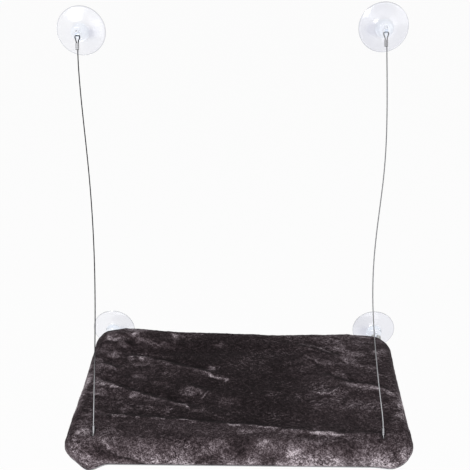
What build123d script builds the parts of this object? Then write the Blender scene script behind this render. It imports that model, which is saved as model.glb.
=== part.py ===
from build123d import *
import math
import os

# A window mounted cat perch: four suction cups on the pane, two steel cables and a plush
# mat on a tube frame that folds up against the window. Sizes are in millimetres. X runs to
# the right, Y out of the room through the pane, Z up. The origin lies on the pane, midway
# between the axes of the two rear cups.

os.makedirs("parts", exist_ok=True)

# Where things hang
frame_width = 518.0
frame_depth = 285.0
rear_setback = 62.5
upper_height = 592.0
upper_spacing = 500.0
upper_shift = -11.0

# Suction cup
cup_radius = 41.0
rim_land = 1.6
rim_edge = 1.2
rim_band = 3.5
rim_band_rise = 0.7
hollow_depth = 5.2
skirt_depth = 8.2
skirt_radius = 18.0
hub_radius = 14.6
hub_nose_radius = 13.6
hub_root_depth = 11.0
hub_depth = 22.0
hub_round = 4.0
lug_thickness = 5.0
lug_radius = 6.0
lug_root = 16.0
nose_gap = 3.0
eye_diameter = 5.2
skirt_bulge_share = 0.09
hollow_bulge_shares = (0.56, 0.75)

# Tube frame
tube_diameter = 32.0
tube_wall = 2.4
elbow_diameter = 36.0
bend_radius = 20.0
elbow_stub = 6.0
spigot_length = 22.0
spigot_wall = 2.2
spigot_clearance = 0.15
shoulder_clearance = 0.2

# Clevis and pin
ear_thickness = 3.6
ear_gap = 0.4
yoke_gap = 0.8
ear_clearance = 0.05
pin_clearance = 0.08
pin_head_radius = 4.2
pin_head_thickness = 1.6
pin_end_clearance = 0.1
cap_radius = 4.4
cap_grip = 3.0
cap_wall = 0.8
cap_clearance = 0.05

# Cable and ferrules
cable_diameter = 1.8
strand_gap = 0.2
eye_drop = 1.2
loop_half_width = 3.9
loop_side = 4.3
loop_length = 12.6
mouth_gap = 1.9
foot_gap = 3.9
ferrule_length = 10.0
ferrule_clearance = 0.15
ferrule_wall = 0.85
crimp_depth = 0.25
crimp_width = 1.3
crimp_places_share = (-0.28, 0.0, 0.28)
upper_lead = 13.5
foot_reach = 23.2
foot_lead = 12.0
tube_wrap_gap = 0.35
loop_side_gap = 0.4
upper_tail_share = 0.55
lower_tail_share = 0.9
mouth_radius = 9.0
eye_bend_share = 0.45
wrap_turns = 4

# Plush cover, base panel and pad
cover_clearance = 0.5
plush_thickness = 4.5
sag_room = 6.5
hem_width = 17.0
fold_height = 8.0
hump_height = 10.0
corner_droop = 10.0
buttonhole_length = 28.0
buttonhole_width = 4.4
buttonhole_shift = 4.5
slit_clearance = 0.6
panel_thickness = 1.6
panel_inset = 17.0
panel_side_gap = 0.3
pad_side_gap = 2.5
pad_corner = 14.0
pad_edge_round = 6.0
pad_groove = 0.8

# Zipper
zipper_margin = 69.0
zipper_setback = 75.0
tape_width = 12.0
tape_thickness = 0.8
tape_overlap = 15.0
stop_gap = 0.1
row_gap = 1.4
row_width = 2.6
tooth_length = 1.4
tooth_width = 2.6
tooth_pitch = 5.0
row_thickness = 2.2
slot_margin = 2.3
stop_length = 3.0
stop_wall = 0.6
slider_length = 13.0
slider_wall = 1.0
slider_gap = 0.3
slider_lip = 1.1
slider_nose_share = 0.35
post_length = 3.0
bail_opening = 1.7
bail_wall = 1.0
bail_width = 2.4
pull_bar_radius = 0.8
bar_clearance = 0.06
pull_top_margin = 0.6
pull_side_gap = 0.5
pull_side = 1.6
pull_window = 4.2
pull_length = 24.0
pull_thickness = 1.4
pull_hole_radius = 1.8

cut_over = 1.0

# Values that follow from the sizes above
half_frame = frame_width / 2
rear_axis = -rear_setback
front_axis = rear_axis - frame_depth
tube_radius = tube_diameter / 2
tube_bore = tube_radius - tube_wall
elbow_radius = elbow_diameter / 2
elbow_reach = bend_radius + elbow_stub
spigot_radius = tube_bore - spigot_clearance
cable_radius = cable_diameter / 2
eye_radius = eye_diameter / 2
eye_depth = hub_depth + lug_radius + nose_gap
ear_inner = lug_thickness / 2 + ear_gap
ear_outer = ear_inner + ear_thickness
pin_radius = eye_radius - pin_clearance
cavity_radius = elbow_radius + cover_clearance
roll_radius = cavity_radius + plush_thickness
bend_x = half_frame - bend_radius
rear_bend = rear_axis - bend_radius
front_bend = front_axis + bend_radius
cover_floor = -roll_radius
panel_top = cover_floor
panel_bottom = panel_top - panel_thickness
tape_middle = panel_bottom - tape_thickness / 2
zipper_y = rear_axis + roll_radius - zipper_setback
zipper_length = frame_width - zipper_margin * 2
chain_half = row_gap / 2 + row_width
upper_places = {
    "left": upper_shift - upper_spacing / 2,
    "right": upper_shift + upper_spacing / 2,
}
side_signs = {"left": -1, "right": 1}
foot_x = half_frame - elbow_reach - cable_radius - loop_side_gap

# The cables' middle stretches, from below the upper ferrule to above the lower one
cable_routes = {
    "left": [
        (-256.4, -71.1, 517.2),
        (-251.2, -94.2, 474.2),
        (-245.6, -117.3, 431.1),
        (-240.4, -140.4, 388.1),
        (-236.2, -163.5, 345.0),
        (-233.1, -186.6, 302.0),
        (-231.0, -209.8, 258.9),
        (-230.0, -232.9, 215.9),
        (-229.8, -256.0, 172.8),
        (-230.2, -279.1, 129.8),
        (-231.0, -302.2, 86.7),
    ],
    "right": [
        (240.2, -71.1, 517.2),
        (239.9, -94.2, 474.2),
        (238.4, -117.3, 431.1),
        (234.6, -140.4, 388.1),
        (228.2, -163.5, 345.0),
        (221.6, -186.6, 302.0),
        (217.0, -209.8, 258.9),
        (215.6, -232.9, 215.9),
        (217.4, -256.0, 172.8),
        (221.0, -279.1, 129.8),
        (225.8, -302.2, 86.7),
    ],
}

# The mat's top, in sections from left to right. Each row gives the section's place as a
# share of the straight half width, then for the seven fold lines from the rear to the
# front their place as a share of the frame's depth and their height as a share of the
# fold height. Line 1 is the rear hump's foot, 3 and 5 are ridges, each with a valley
# behind it, and 7 is the crest of the front roll's crease, with its valley behind it.
fold_shares = [
    (-1.00, (0.12, 0.21, 0.26, 0.46, 0.53, 0.76, 0.83), (0.30, -0.05, 0.05, -0.20, 0.40, -0.05, 0.20)),
    (-0.77, (0.14, 0.21, 0.255, 0.545, 0.60, 0.78, 0.83), (-0.60, -0.70, 0.25, -0.80, 0.15, -0.30, 0.25)),
    (-0.50, (0.12, 0.27, 0.33, 0.63, 0.68, 0.78, 0.84), (-0.50, -0.80, 0.25, -0.90, 0.05, -0.20, 0.35)),
    (-0.23, (0.15, 0.345, 0.40, 0.70, 0.75, 0.825, 0.865), (-0.55, -0.80, -0.20, -0.80, -0.60, -0.40, 0.15)),
    (0.08, (0.10, 0.25, 0.40, 0.59, 0.70, 0.825, 0.89), (-0.35, -0.55, -0.55, -0.55, -0.70, -0.50, 0.15)),
    (0.42, (0.055, 0.09, 0.115, 0.30, 0.37, 0.86, 0.94), (-0.40, -0.50, -0.40, -0.55, -0.55, -0.70, 0.05)),
    (0.71, (0.08, 0.16, 0.22, 0.405, 0.46, 0.86, 0.95), (-0.45, -0.65, -0.10, -0.70, 0.20, -0.60, 0.15)),
    (1.00, (0.10, 0.20, 0.26, 0.50, 0.56, 0.82, 0.96), (0.00, -0.10, -0.10, -0.30, 0.50, -0.15, 0.10)),
]
hump_reach_share = 0.22
hump_shares = (0.75, 1.00, 0.55, 0.25, 0.0, 0.0, 0.05, 0.20)
droop_shares = (1.00, 0.30, 0.05, 0.0, 0.0, 0.05, 0.15, 0.60)
droop_start_share = 0.42
corner_angles = (16.0, 30.0, 44.0, 58.0, 72.0, 82.0)


def save(shape, name):
    """Writes one named sub-part."""
    shape.label = name
    export_step(shape, f"parts/{name}.step")
    print(f"{name}: {len(shape.solids())} solid(s), {shape.volume:.0f} mm3")


def at(point, other, share):
    """A point a share of the way from one point to another."""
    return tuple(a + (b - a) * share for a, b in zip(point, other))


def suction_cup():
    """A clear cup about the origin, its rim on the pane and its eye lug in the room."""
    rim = (cup_radius, 0)
    rim_back = (cup_radius, -rim_edge)
    band = (cup_radius - rim_band, -rim_edge - rim_band_rise)
    skirt = (skirt_radius, -skirt_depth)
    bulge = at(band, skirt, 0.5)
    bulge = (bulge[0], bulge[1] - skirt_bulge_share * skirt_depth)
    root = (hub_radius, -hub_root_depth)
    root_turn = (
        hub_radius + (skirt_radius - hub_radius) * 0.3,
        -skirt_depth - (hub_root_depth - skirt_depth) * 0.3,
    )
    shoulder = (hub_nose_radius, -hub_depth + hub_round)
    nose_turn = (
        hub_nose_radius - hub_round * (1 - math.sqrt(0.5)),
        -hub_depth + hub_round * (1 - math.sqrt(0.5)),
    )
    nose = (hub_nose_radius - hub_round, -hub_depth)
    tip = (0, -hub_depth)
    crown = (0, -hollow_depth)
    land = (cup_radius - rim_land, 0)
    hollow_x, hollow_y = hollow_bulge_shares
    hollow = (land[0] * hollow_x, -hollow_depth * hollow_y)
    outline = [
        Line(rim, rim_back),
        Line(rim_back, band),
        ThreePointArc(band, bulge, skirt),
        ThreePointArc(skirt, root_turn, root),
        Line(root, shoulder),
        ThreePointArc(shoulder, nose_turn, nose),
        Line(nose, tip),
        Line(tip, crown),
        ThreePointArc(crown, hollow, land),
        Line(land, rim),
    ]
    body = revolve(make_face(outline), Axis.Y)
    sink = hub_depth - hub_round
    side = Polygon(
        (-sink, -lug_root / 2),
        (-sink, lug_root / 2),
        (-eye_depth, lug_radius),
        (-eye_depth, -lug_radius),
        align=None,
    )
    side += Pos(-eye_depth, 0) * Circle(lug_radius)
    lug = extrude(Plane.YZ * side, amount=lug_thickness / 2, both=True)
    eye = Pos(0, -eye_depth, 0) * Rot(0, 90, 0) * Cylinder(eye_radius, hub_radius * 2)
    return body + lug - eye


def tube(length):
    """A length of hollow frame tube along Z, about the origin."""
    return Cylinder(tube_radius, length) - Cylinder(tube_bore, length + cut_over)


def bend_path(reach):
    """The centre line round a corner at the origin, its legs along +X and -Y."""
    start = (reach, 0, 0)
    turn_in = (bend_radius, 0, 0)
    turn_out = (0, -bend_radius, 0)
    end = (0, -reach, 0)
    middle = bend_radius * (1 - math.sqrt(0.5))
    return Wire([
        Edge.make_line(start, turn_in),
        Edge.make_three_point_arc(turn_in, (middle, -middle, 0), turn_out),
        Edge.make_line(turn_out, end),
    ])


def bent_rod(radius, reach):
    """A round rod along the corner's centre line."""
    start = Plane(origin=(reach, 0, 0), z_dir=(-1, 0, 0))
    return sweep(start * Circle(radius), path=bend_path(reach))


def clevis():
    """The two ears and their yoke, for a rear corner at the origin."""
    axle = rear_setback - eye_depth
    root = -elbow_stub
    outline = Polygon(
        (root, -lug_radius),
        (root, lug_radius),
        (axle, lug_radius),
        (axle, -lug_radius),
        align=None,
    )
    outline += Pos(axle, 0) * Circle(lug_radius)
    block = extrude(Plane.YZ * outline, amount=ear_outer, both=True)
    fork_end = axle - lug_radius - yoke_gap
    fork = Pos(0, fork_end, 0) * Box(
        ear_inner * 2,
        elbow_diameter,
        elbow_diameter,
        align=(Align.CENTER, Align.MIN, Align.CENTER),
    )
    hole = Pos(0, axle, 0) * Rot(0, 90, 0) * Cylinder(pin_radius + ear_clearance, elbow_diameter)
    return block - fork - hole


def elbow(with_clevis):
    """A corner fitting at the origin, with a spigot for each tube."""
    body = bent_rod(elbow_radius, elbow_reach)
    if with_clevis:
        body += clevis()
    body += bent_rod(spigot_radius, elbow_reach + spigot_length)
    return body - bent_rod(spigot_radius - spigot_wall, elbow_reach + spigot_length + cut_over)


def corner_at(shape, x_sign, rear):
    """Turns the rear left corner fitting into the one of another corner."""
    if x_sign > 0:
        shape = shape.mirror(Plane.YZ)
    if not rear:
        shape = shape.mirror(Plane.XZ)
    y = rear_axis if rear else front_axis
    return Pos(x_sign * half_frame, y, 0) * shape


def hinge_pin():
    """A headed pin along X, its shank through both ears and the cup's eye."""
    seat = ear_outer + pin_end_clearance
    shank = Cylinder(pin_radius, seat + ear_outer + cap_grip, align=(Align.CENTER, Align.CENTER, Align.MIN))
    shank = Pos(0, 0, -seat) * shank
    head = Cylinder(pin_head_radius, pin_head_thickness, align=(Align.CENTER, Align.CENTER, Align.MAX))
    head = fillet(head.edges().sort_by(Axis.Z)[0], pin_head_thickness / 2)
    return Rot(0, 90, 0) * (shank + Pos(0, 0, -seat) * head)


def pin_cap():
    """The push-on cap on the pin's plain end."""
    seat = ear_outer + pin_end_clearance
    length = cap_grip + cap_wall
    cap = Cylinder(cap_radius, length, align=(Align.CENTER, Align.CENTER, Align.MIN))
    cap = fillet(cap.edges().sort_by(Axis.Z)[-1], cap_wall)
    bore = Cylinder(pin_radius + cap_clearance, cap_grip + cut_over, align=(Align.CENTER, Align.CENTER, Align.MAX))
    cap -= Pos(0, 0, cap_grip) * bore
    return Rot(0, 90, 0) * (Pos(0, 0, seat) * cap)


def ferrule():
    """An oval crimp sleeve along Z, its two strands side by side along X."""
    pitch = cable_diameter + strand_gap
    bore = SlotCenterToCenter(pitch, cable_diameter + ferrule_clearance * 2)
    skin = SlotCenterToCenter(pitch, cable_diameter + ferrule_clearance * 2 + ferrule_wall * 2)
    crimped = SlotCenterToCenter(
        pitch, cable_diameter + ferrule_clearance * 2 + ferrule_wall * 2 - crimp_depth * 2
    )
    sleeve = extrude(skin, amount=ferrule_length / 2, both=True)
    ring = extrude(skin - crimped, amount=crimp_width / 2, both=True)
    for share in crimp_places_share:
        sleeve -= Pos(0, 0, ferrule_length * share) * ring
    return sleeve - extrude(bore, amount=ferrule_length, both=True)


def cable_line():
    """The cable's straight way in the YZ plane: its top, foot, way up and way out."""
    top = Vector(0, -eye_depth, upper_height)
    foot = Vector(0, front_axis, 0)
    up = (top - foot).normalized()
    out = Vector(0, -up.Z, up.Y)
    return top, foot, up, out


def cable_points(side):
    """The cable's route, from the tail at the eye round to the tail at the front tube."""
    top, foot, up, out = cable_line()
    across = Vector(1, 0, 0)
    strand = cable_radius + strand_gap / 2
    eye = top + across * upper_places[side]
    tail = loop_length + mouth_gap + ferrule_length * upper_tail_share
    upper = [
        (-strand, -tail),
        (-strand, -loop_length),
        (-loop_half_width, -eye_drop - loop_side),
        (-loop_half_width, -eye_drop),
        (loop_half_width, -eye_drop),
        (loop_half_width, -eye_drop - loop_side),
        (strand, -loop_length),
        (strand, -loop_length - mouth_gap - ferrule_length - upper_lead),
    ]
    points = [eye + across * u + up * v for u, v in upper]
    points += [Vector(*place) for place in cable_routes[side]]
    centre = foot + across * (foot_x * side_signs[side])
    wrap = tube_radius + cable_radius + tube_wrap_gap
    mouth = math.hypot(strand, foot_reach)
    first = math.atan2(strand, foot_reach) + math.acos(wrap / mouth)
    step = (2 * math.pi - 2 * first) / wrap_turns
    lower = [
        (strand, foot_reach + foot_gap + ferrule_length + foot_lead),
        (strand, foot_reach),
    ]
    for turn in range(wrap_turns):
        angle = first + step * (turn + 0.5)
        corner = wrap / math.cos(step / 2)
        lower.append((corner * math.sin(angle), corner * math.cos(angle)))
    lower.append((-strand, foot_reach))
    lower.append((-strand, foot_reach + foot_gap + ferrule_length * lower_tail_share))
    points += [centre + out * n + up * w for n, w in lower]
    return points


def cable(side):
    """One steel cable: straight runs joined by arcs as large as the runs allow."""
    points = cable_points(side)
    runs = [(b - a).length for a, b in zip(points, points[1:])]
    mouths = (1, 6, len(points) - 3 - wrap_turns, len(points) - 2)
    radii = []
    for i in range(1, len(points) - 1):
        turn = (points[i] - points[i - 1]).get_angle(points[i + 1] - points[i])
        radius = eye_bend_share * min(runs[i - 1], runs[i]) / math.tan(math.radians(turn / 2))
        if i in mouths:
            radius = min(radius, mouth_radius)
        radii.append(radius)
    path = FilletPolyline(*points, radius=radii)
    start = Plane(origin=path @ 0, z_dir=path % 0)
    rope = sweep(start * Circle(cable_radius), path=path)
    expected = math.pi * cable_radius**2 * path.length
    print(f"cable_{side}: length {path.length:.1f} mm, volume share {rope.volume / expected:.4f}")
    print("  radii " + ", ".join(f"{r:.1f}" for r in radii))
    return rope


def ferrule_places(side):
    """The planes of the upper and the lower ferrule of one cable."""
    top, foot, up, out = cable_line()
    upper = top + Vector(upper_places[side], 0, 0) - up * (loop_length + mouth_gap + ferrule_length / 2)
    lower = foot + Vector(foot_x * side_signs[side], 0, 0)
    lower += up * (foot_reach + foot_gap + ferrule_length / 2)
    return (
        Plane(origin=upper, x_dir=(1, 0, 0), z_dir=up),
        Plane(origin=lower, x_dir=out, z_dir=up),
    )


def mat_section(x, places, heights, hump, droop):
    """One section of the mat across X, as a closed wire of lines and arcs."""
    reach = bend_radius + roll_radius
    past = max(0, abs(x) - bend_x)
    across = math.sqrt(reach**2 - past**2)
    core = math.sqrt(max(0, bend_radius**2 - past**2))
    edge = max(0, past - bend_radius)
    half = math.sqrt(roll_radius**2 - edge**2)
    fade = half / roll_radius
    rear_top = rear_bend + core
    front_top = front_bend - core
    rear_end = rear_bend + across
    front_end = front_bend - across
    turn = math.sqrt(0.5)
    lift = hump_height * hump * fade
    drop = corner_droop * droop * fade
    rear_high = half + lift
    top_points = [(rear_top, rear_high)]
    for place, height in zip(places, heights):
        y = rear_top + (front_top - rear_top) * place
        swell = lift * max(0, 1 - place / hump_reach_share)
        top_points.append((y, half + fold_height * height * fade + swell))
    top_points.append((front_top, half))
    rear_mid = (rear_top + (rear_end - rear_top) * turn, half * turn + lift / 2)
    front_mid = (front_top + (front_end - front_top) * turn, half * turn)
    low_mid = (front_top + (front_end - front_top) * turn, -half * turn - drop)
    low_start = (
        front_top + (front_end - front_top) * droop_start_share,
        -half * math.sqrt(1 - droop_start_share**2),
    )
    rear_low = (rear_top + (rear_end - rear_top) * turn, -half * turn)

    def place_at(point):
        return (x, point[0], point[1])

    edges = [Edge.make_line(place_at(a), place_at(b)) for a, b in zip(top_points, top_points[1:])]
    edges.append(Edge.make_three_point_arc(
        place_at((front_top, half)), place_at(front_mid), place_at((front_end, -drop / 2))))
    edges.append(Edge.make_three_point_arc(
        place_at((front_end, -drop / 2)), place_at(low_mid), place_at(low_start)))
    edges.append(Edge.make_line(place_at(low_start), place_at((front_top, -half))))
    edges.append(Edge.make_line(place_at((front_top, -half)), place_at((rear_top, -half))))
    edges.append(Edge.make_three_point_arc(
        place_at((rear_top, -half)), place_at(rear_low), place_at((rear_end, 0))))
    edges.append(Edge.make_three_point_arc(
        place_at((rear_end, 0)), place_at(rear_mid), place_at((rear_top, rear_high))))
    return Wire(edges)


def mat_form():
    """The mat's outer form: round rolls over the tubes, folds across the top."""
    reach = bend_radius + roll_radius
    sections = []
    for angle in reversed(corner_angles):
        x = -bend_x - reach * math.sin(math.radians(angle))
        sections.append(mat_section(x, *fold_shares[0][1:], hump_shares[0], droop_shares[0]))
    for row, hump, droop in zip(fold_shares, hump_shares, droop_shares):
        sections.append(mat_section(row[0] * bend_x, *row[1:], hump, droop))
    for angle in corner_angles:
        x = bend_x + reach * math.sin(math.radians(angle))
        sections.append(mat_section(x, *fold_shares[-1][1:], hump_shares[-1], droop_shares[-1]))
    return Solid.make_loft(sections, True)


def rounded_plate(inset, corner, low, high):
    """A plate with round corners, its edge set in from the mat's edge."""
    width = frame_width + roll_radius * 2 - inset * 2
    depth = frame_depth + roll_radius * 2 - inset * 2
    middle = (rear_axis + front_axis) / 2
    return Pos(0, middle, low) * extrude(RectangleRounded(width, depth, corner), amount=high - low)


def frame_ring():
    """The space round the tube frame inside the cover."""
    middle = (rear_axis + front_axis) / 2
    rods = [
        Pos(0, rear_axis, 0) * Rot(0, 90, 0) * Cylinder(cavity_radius, bend_x * 2),
        Pos(0, front_axis, 0) * Rot(0, 90, 0) * Cylinder(cavity_radius, bend_x * 2),
    ]
    for sign in (-1, 1):
        length = frame_depth - bend_radius * 2
        rods.append(Pos(sign * half_frame, middle, 0) * Rot(90, 0, 0) * Cylinder(cavity_radius, length))
    ring = rods[0] + rods[1:]
    quarter = Rot(0, 0, 90) * Torus(bend_radius, cavity_radius, major_angle=90, align=None)
    for x_sign in (-1, 1):
        for rear in (True, False):
            piece = quarter
            if x_sign > 0:
                piece = piece.mirror(Plane.YZ)
            if not rear:
                piece = piece.mirror(Plane.XZ)
            y = rear_bend if rear else front_bend
            ring += Pos(x_sign * bend_x, y, 0) * piece
    return ring


def plush_cover():
    """The plush top and sides, turned under the frame by a hem."""
    opening = roll_radius + hem_width
    inner = rounded_plate(
        opening, bend_radius, cover_floor - corner_droop, roll_radius - plush_thickness - sag_room
    )
    core = rounded_plate(
        roll_radius, bend_radius, cover_floor + plush_thickness, roll_radius - plush_thickness - sag_room
    )
    seat = rounded_plate(
        panel_inset - panel_side_gap,
        bend_radius + roll_radius - panel_inset + panel_side_gap,
        cover_floor - roll_radius,
        cover_floor,
    )
    cover = Part(mat_form().wrapped) - inner - core - frame_ring() - seat
    top, foot, up, out = cable_line()
    hole = Pos(0, 0, roll_radius) * extrude(
        Rot(0, 0, 90) * SlotOverall(buttonhole_length, buttonhole_width),
        amount=roll_radius,
        both=True,
    )
    slit_wide = (ear_outer + slit_clearance) * 2
    slit_high = (lug_radius + slit_clearance) * 2
    slit = Box(slit_wide, roll_radius + bend_radius, slit_high, align=(Align.CENTER, Align.MIN, Align.CENTER))
    for sign in (-1, 1):
        cover -= Pos(sign * foot_x, foot.Y + buttonhole_shift, 0) * hole
        cover -= Pos(sign * half_frame, rear_bend, 0) * slit
    return cover


def zipper_slot(high):
    """The space that the zipper's chain and slider take up in the cloth above them."""
    wide = (chain_half + slot_margin) * 2
    slot = Box(
        zipper_length + stop_length * 4,
        wide,
        high - panel_bottom + panel_thickness,
        align=(Align.CENTER, Align.CENTER, Align.MAX),
    )
    return Pos(0, zipper_y, high) * slot


def base_panel():
    """The bottom cloth, with its slot for the zipper."""
    corner = bend_radius + roll_radius - panel_inset
    panel = rounded_plate(panel_inset, corner, panel_bottom, panel_top)
    return panel - zipper_slot(panel_top + panel_thickness)


def pad():
    """The wadding between the tubes."""
    inset = roll_radius + elbow_radius + pad_side_gap
    high = roll_radius - plush_thickness - sag_room
    block = rounded_plate(inset, pad_corner, panel_top, high)
    rim = block.faces().sort_by(Axis.Z)[-1].edges()
    return fillet(rim, pad_edge_round) - zipper_slot(panel_top + pad_groove)


def zipper_tape():
    """The two woven tapes, sewn under the base panel."""
    length = zipper_length + tape_overlap * 2
    strip = Box(length, tape_width, tape_thickness, align=(Align.CENTER, Align.MIN, Align.CENTER))
    rear = Pos(0, zipper_y + chain_half, tape_middle) * strip
    front = Pos(0, zipper_y - chain_half - tape_width, tape_middle) * strip
    return Compound(children=[rear, front])


def tooth_row():
    """One row of teeth as a comb, its spine at +Y and its teeth towards the middle."""
    count = int(zipper_length / tooth_pitch)
    spine_in = row_gap / 2 + tooth_length
    spine_out = row_gap / 2 + row_width
    start = -zipper_length / 2
    points = [(start, spine_out), (start, spine_in)]
    for i in range(count):
        middle = start + (i + 0.5) * tooth_pitch
        points.append((middle - tooth_width / 2, spine_in))
        points.append((middle - tooth_width / 2, row_gap / 2))
        points.append((middle + tooth_width / 2, row_gap / 2))
        points.append((middle + tooth_width / 2, spine_in))
    points.append((-start, spine_in))
    points.append((-start, spine_out))
    return extrude(Polygon(*points, align=None), amount=row_thickness / 2, both=True)


def zipper_teeth():
    """Both rows of teeth."""
    row = tooth_row()
    rear = Pos(0, zipper_y, tape_middle) * row
    front = Pos(0, zipper_y, tape_middle) * Rot(0, 0, 180) * row
    return Compound(children=[rear, front])


def zipper_stops():
    """The metal stops clamped over the chain's ends."""
    wide = (chain_half + stop_wall) * 2
    high = row_thickness + stop_wall * 2
    stop = Box(stop_length, wide, high)
    place = zipper_length / 2 + stop_gap + stop_length / 2
    stops = [Pos(sign * place, zipper_y, tape_middle) * stop for sign in (-1, 1)]
    notch = Box(stop_length + cut_over, tape_width, tape_thickness + stop_gap * 2)
    shaped = []
    for sign, piece in zip((-1, 1), stops):
        for way in (-1, 1):
            offset = chain_half + tape_width / 2
            piece -= Pos(sign * place, zipper_y + way * offset, tape_middle) * notch
        shaped.append(piece)
    return Compound(children=shaped)


def slider_place():
    """The slider's middle along X with the zipper closed."""
    return zipper_length / 2 - slider_length / 2 - slider_gap


def zipper_slider():
    """The slider: two wings with lips, joined by a post, and a bail under it."""
    inner = row_thickness / 2 + slider_gap
    half_width = chain_half + slider_gap + slider_lip
    long_half = slider_length / 2
    nose = half_width * slider_nose_share
    outline = Polygon(
        (-long_half, half_width),
        (-long_half, -half_width),
        (long_half * slider_nose_share, -half_width),
        (long_half, -half_width + nose),
        (long_half, half_width - nose),
        (long_half * slider_nose_share, half_width),
        align=None,
    )
    wing = extrude(outline, amount=slider_wall)
    channel = half_width - slider_lip
    lip_high = inner - tape_thickness / 2 - slider_gap
    lip = Box(
        long_half * (1 + slider_nose_share),
        slider_lip,
        lip_high,
        align=(Align.MIN, Align.MIN, Align.MAX),
    )
    upper = Pos(0, 0, inner) * wing
    upper += Pos(-long_half, channel, inner) * lip
    upper += Pos(-long_half, -channel - slider_lip, inner) * lip
    lower = upper.mirror(Plane.XY)
    post = Pos(long_half - post_length, 0, 0) * Box(
        post_length, row_gap - slider_gap * 2, inner * 2, align=(Align.MIN, Align.CENTER, Align.CENTER)
    )
    bail_round = bail_opening + bail_wall
    floor = inner + slider_wall
    arch = Circle(bail_round) + Pos(0, bail_round / 2) * Rectangle(bail_round * 2, bail_round)
    arch -= Circle(bail_opening)
    bail = extrude(Plane.XZ * arch, amount=bail_width / 2, both=True)
    bail = Pos(0, 0, -floor - bail_round) * bail
    slider = upper + post + lower + bail
    return Pos(slider_place(), zipper_y, tape_middle) * slider


def pull_axis():
    """The height of the bar that the pull hangs by."""
    inner = row_thickness / 2 + slider_gap
    sill = tape_middle - inner - slider_wall - bail_wall - bail_opening * 2
    return sill + pull_bar_radius + bar_clearance


def zipper_pull():
    """The pull tab, hanging by its bar in the slider's bail."""
    half_window = bail_width / 2 + pull_side_gap
    half_width = half_window + pull_side
    top = pull_bar_radius + pull_top_margin
    outline = Pos(0, (top - pull_length) / 2) * RectangleRounded(half_width * 2, pull_length + top, pull_side)
    outline -= Pos(0, -pull_window / 2) * Rectangle(half_window * 2, pull_window + pull_bar_radius)
    outline -= Pos(0, -pull_length + half_width) * Circle(pull_hole_radius)
    tab = extrude(Plane.YZ * outline, amount=pull_thickness / 2, both=True)
    tab -= Box(pull_window, half_window * 2, pull_window, align=(Align.CENTER, Align.CENTER, Align.MIN))
    bar = Rot(90, 0, 0) * Cylinder(pull_bar_radius, (half_window + pull_side / 2) * 2)
    return Pos(slider_place(), zipper_y, pull_axis()) * (tab + bar)


cup = suction_cup()
for side, sign in side_signs.items():
    save(Pos(upper_places[side], 0, upper_height) * cup, f"suction_cup_upper_{side}")
    save(Pos(sign * half_frame, 0, 0) * cup, f"suction_cup_rear_{side}")

cross_length = (half_frame - elbow_reach - shoulder_clearance) * 2
side_length = frame_depth - (elbow_reach + shoulder_clearance) * 2
middle_y = (rear_axis + front_axis) / 2
save(Pos(0, rear_axis, 0) * Rot(0, 90, 0) * tube(cross_length), "rear_tube")
save(Pos(0, front_axis, 0) * Rot(0, 90, 0) * tube(cross_length), "front_tube")
plain_elbow = elbow(False)
clevis_elbow = elbow(True)
pin = hinge_pin()
cap = pin_cap()
for side, sign in side_signs.items():
    save(Pos(sign * half_frame, middle_y, 0) * Rot(90, 0, 0) * tube(side_length), f"side_tube_{side}")
    save(corner_at(clevis_elbow, sign, True), f"elbow_rear_{side}")
    save(corner_at(plain_elbow, sign, False), f"elbow_front_{side}")
    hinge = Pos(sign * half_frame, -eye_depth, 0)
    turn = Rot(0, 0, 0) if sign > 0 else Rot(0, 0, 180)
    save(hinge * turn * pin, f"hinge_pin_{side}")
    save(hinge * turn * cap, f"hinge_pin_cap_{side}")
    upper_plane, lower_plane = ferrule_places(side)
    save(upper_plane * ferrule(), f"upper_ferrule_{side}")
    save(lower_plane * ferrule(), f"lower_ferrule_{side}")
    save(cable(side), f"cable_{side}")

save(plush_cover(), "plush_cover")
save(base_panel(), "base_panel")
save(pad(), "wadding_pad")
save(zipper_tape(), "zipper_tape")
save(zipper_teeth(), "zipper_teeth")
save(zipper_stops(), "zipper_stops")
save(zipper_slider(), "zipper_slider")
save(zipper_pull(), "zipper_pull")
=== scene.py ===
import math

import bmesh
import bpy
import numpy as np
from mathutils import Matrix, Vector, noise
from mathutils.kdtree import KDTree


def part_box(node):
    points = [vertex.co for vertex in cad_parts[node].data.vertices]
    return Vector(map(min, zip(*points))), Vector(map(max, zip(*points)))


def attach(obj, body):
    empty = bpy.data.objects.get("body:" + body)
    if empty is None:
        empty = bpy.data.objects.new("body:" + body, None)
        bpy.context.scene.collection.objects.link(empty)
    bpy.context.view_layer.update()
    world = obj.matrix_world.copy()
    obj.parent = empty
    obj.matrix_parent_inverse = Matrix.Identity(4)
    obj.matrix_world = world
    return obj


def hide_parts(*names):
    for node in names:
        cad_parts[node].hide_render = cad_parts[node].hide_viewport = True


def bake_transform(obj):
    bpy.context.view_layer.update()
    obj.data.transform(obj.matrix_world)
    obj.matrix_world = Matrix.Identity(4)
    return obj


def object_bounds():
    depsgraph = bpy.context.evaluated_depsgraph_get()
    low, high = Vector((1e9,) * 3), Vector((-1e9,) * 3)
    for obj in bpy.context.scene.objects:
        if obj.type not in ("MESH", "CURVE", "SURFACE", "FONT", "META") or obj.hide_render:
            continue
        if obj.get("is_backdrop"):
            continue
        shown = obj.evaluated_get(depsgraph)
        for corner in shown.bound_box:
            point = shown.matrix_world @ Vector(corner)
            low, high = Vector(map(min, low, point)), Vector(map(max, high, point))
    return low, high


# A window mounted cat perch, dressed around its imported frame. Lengths are in metres.

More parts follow.
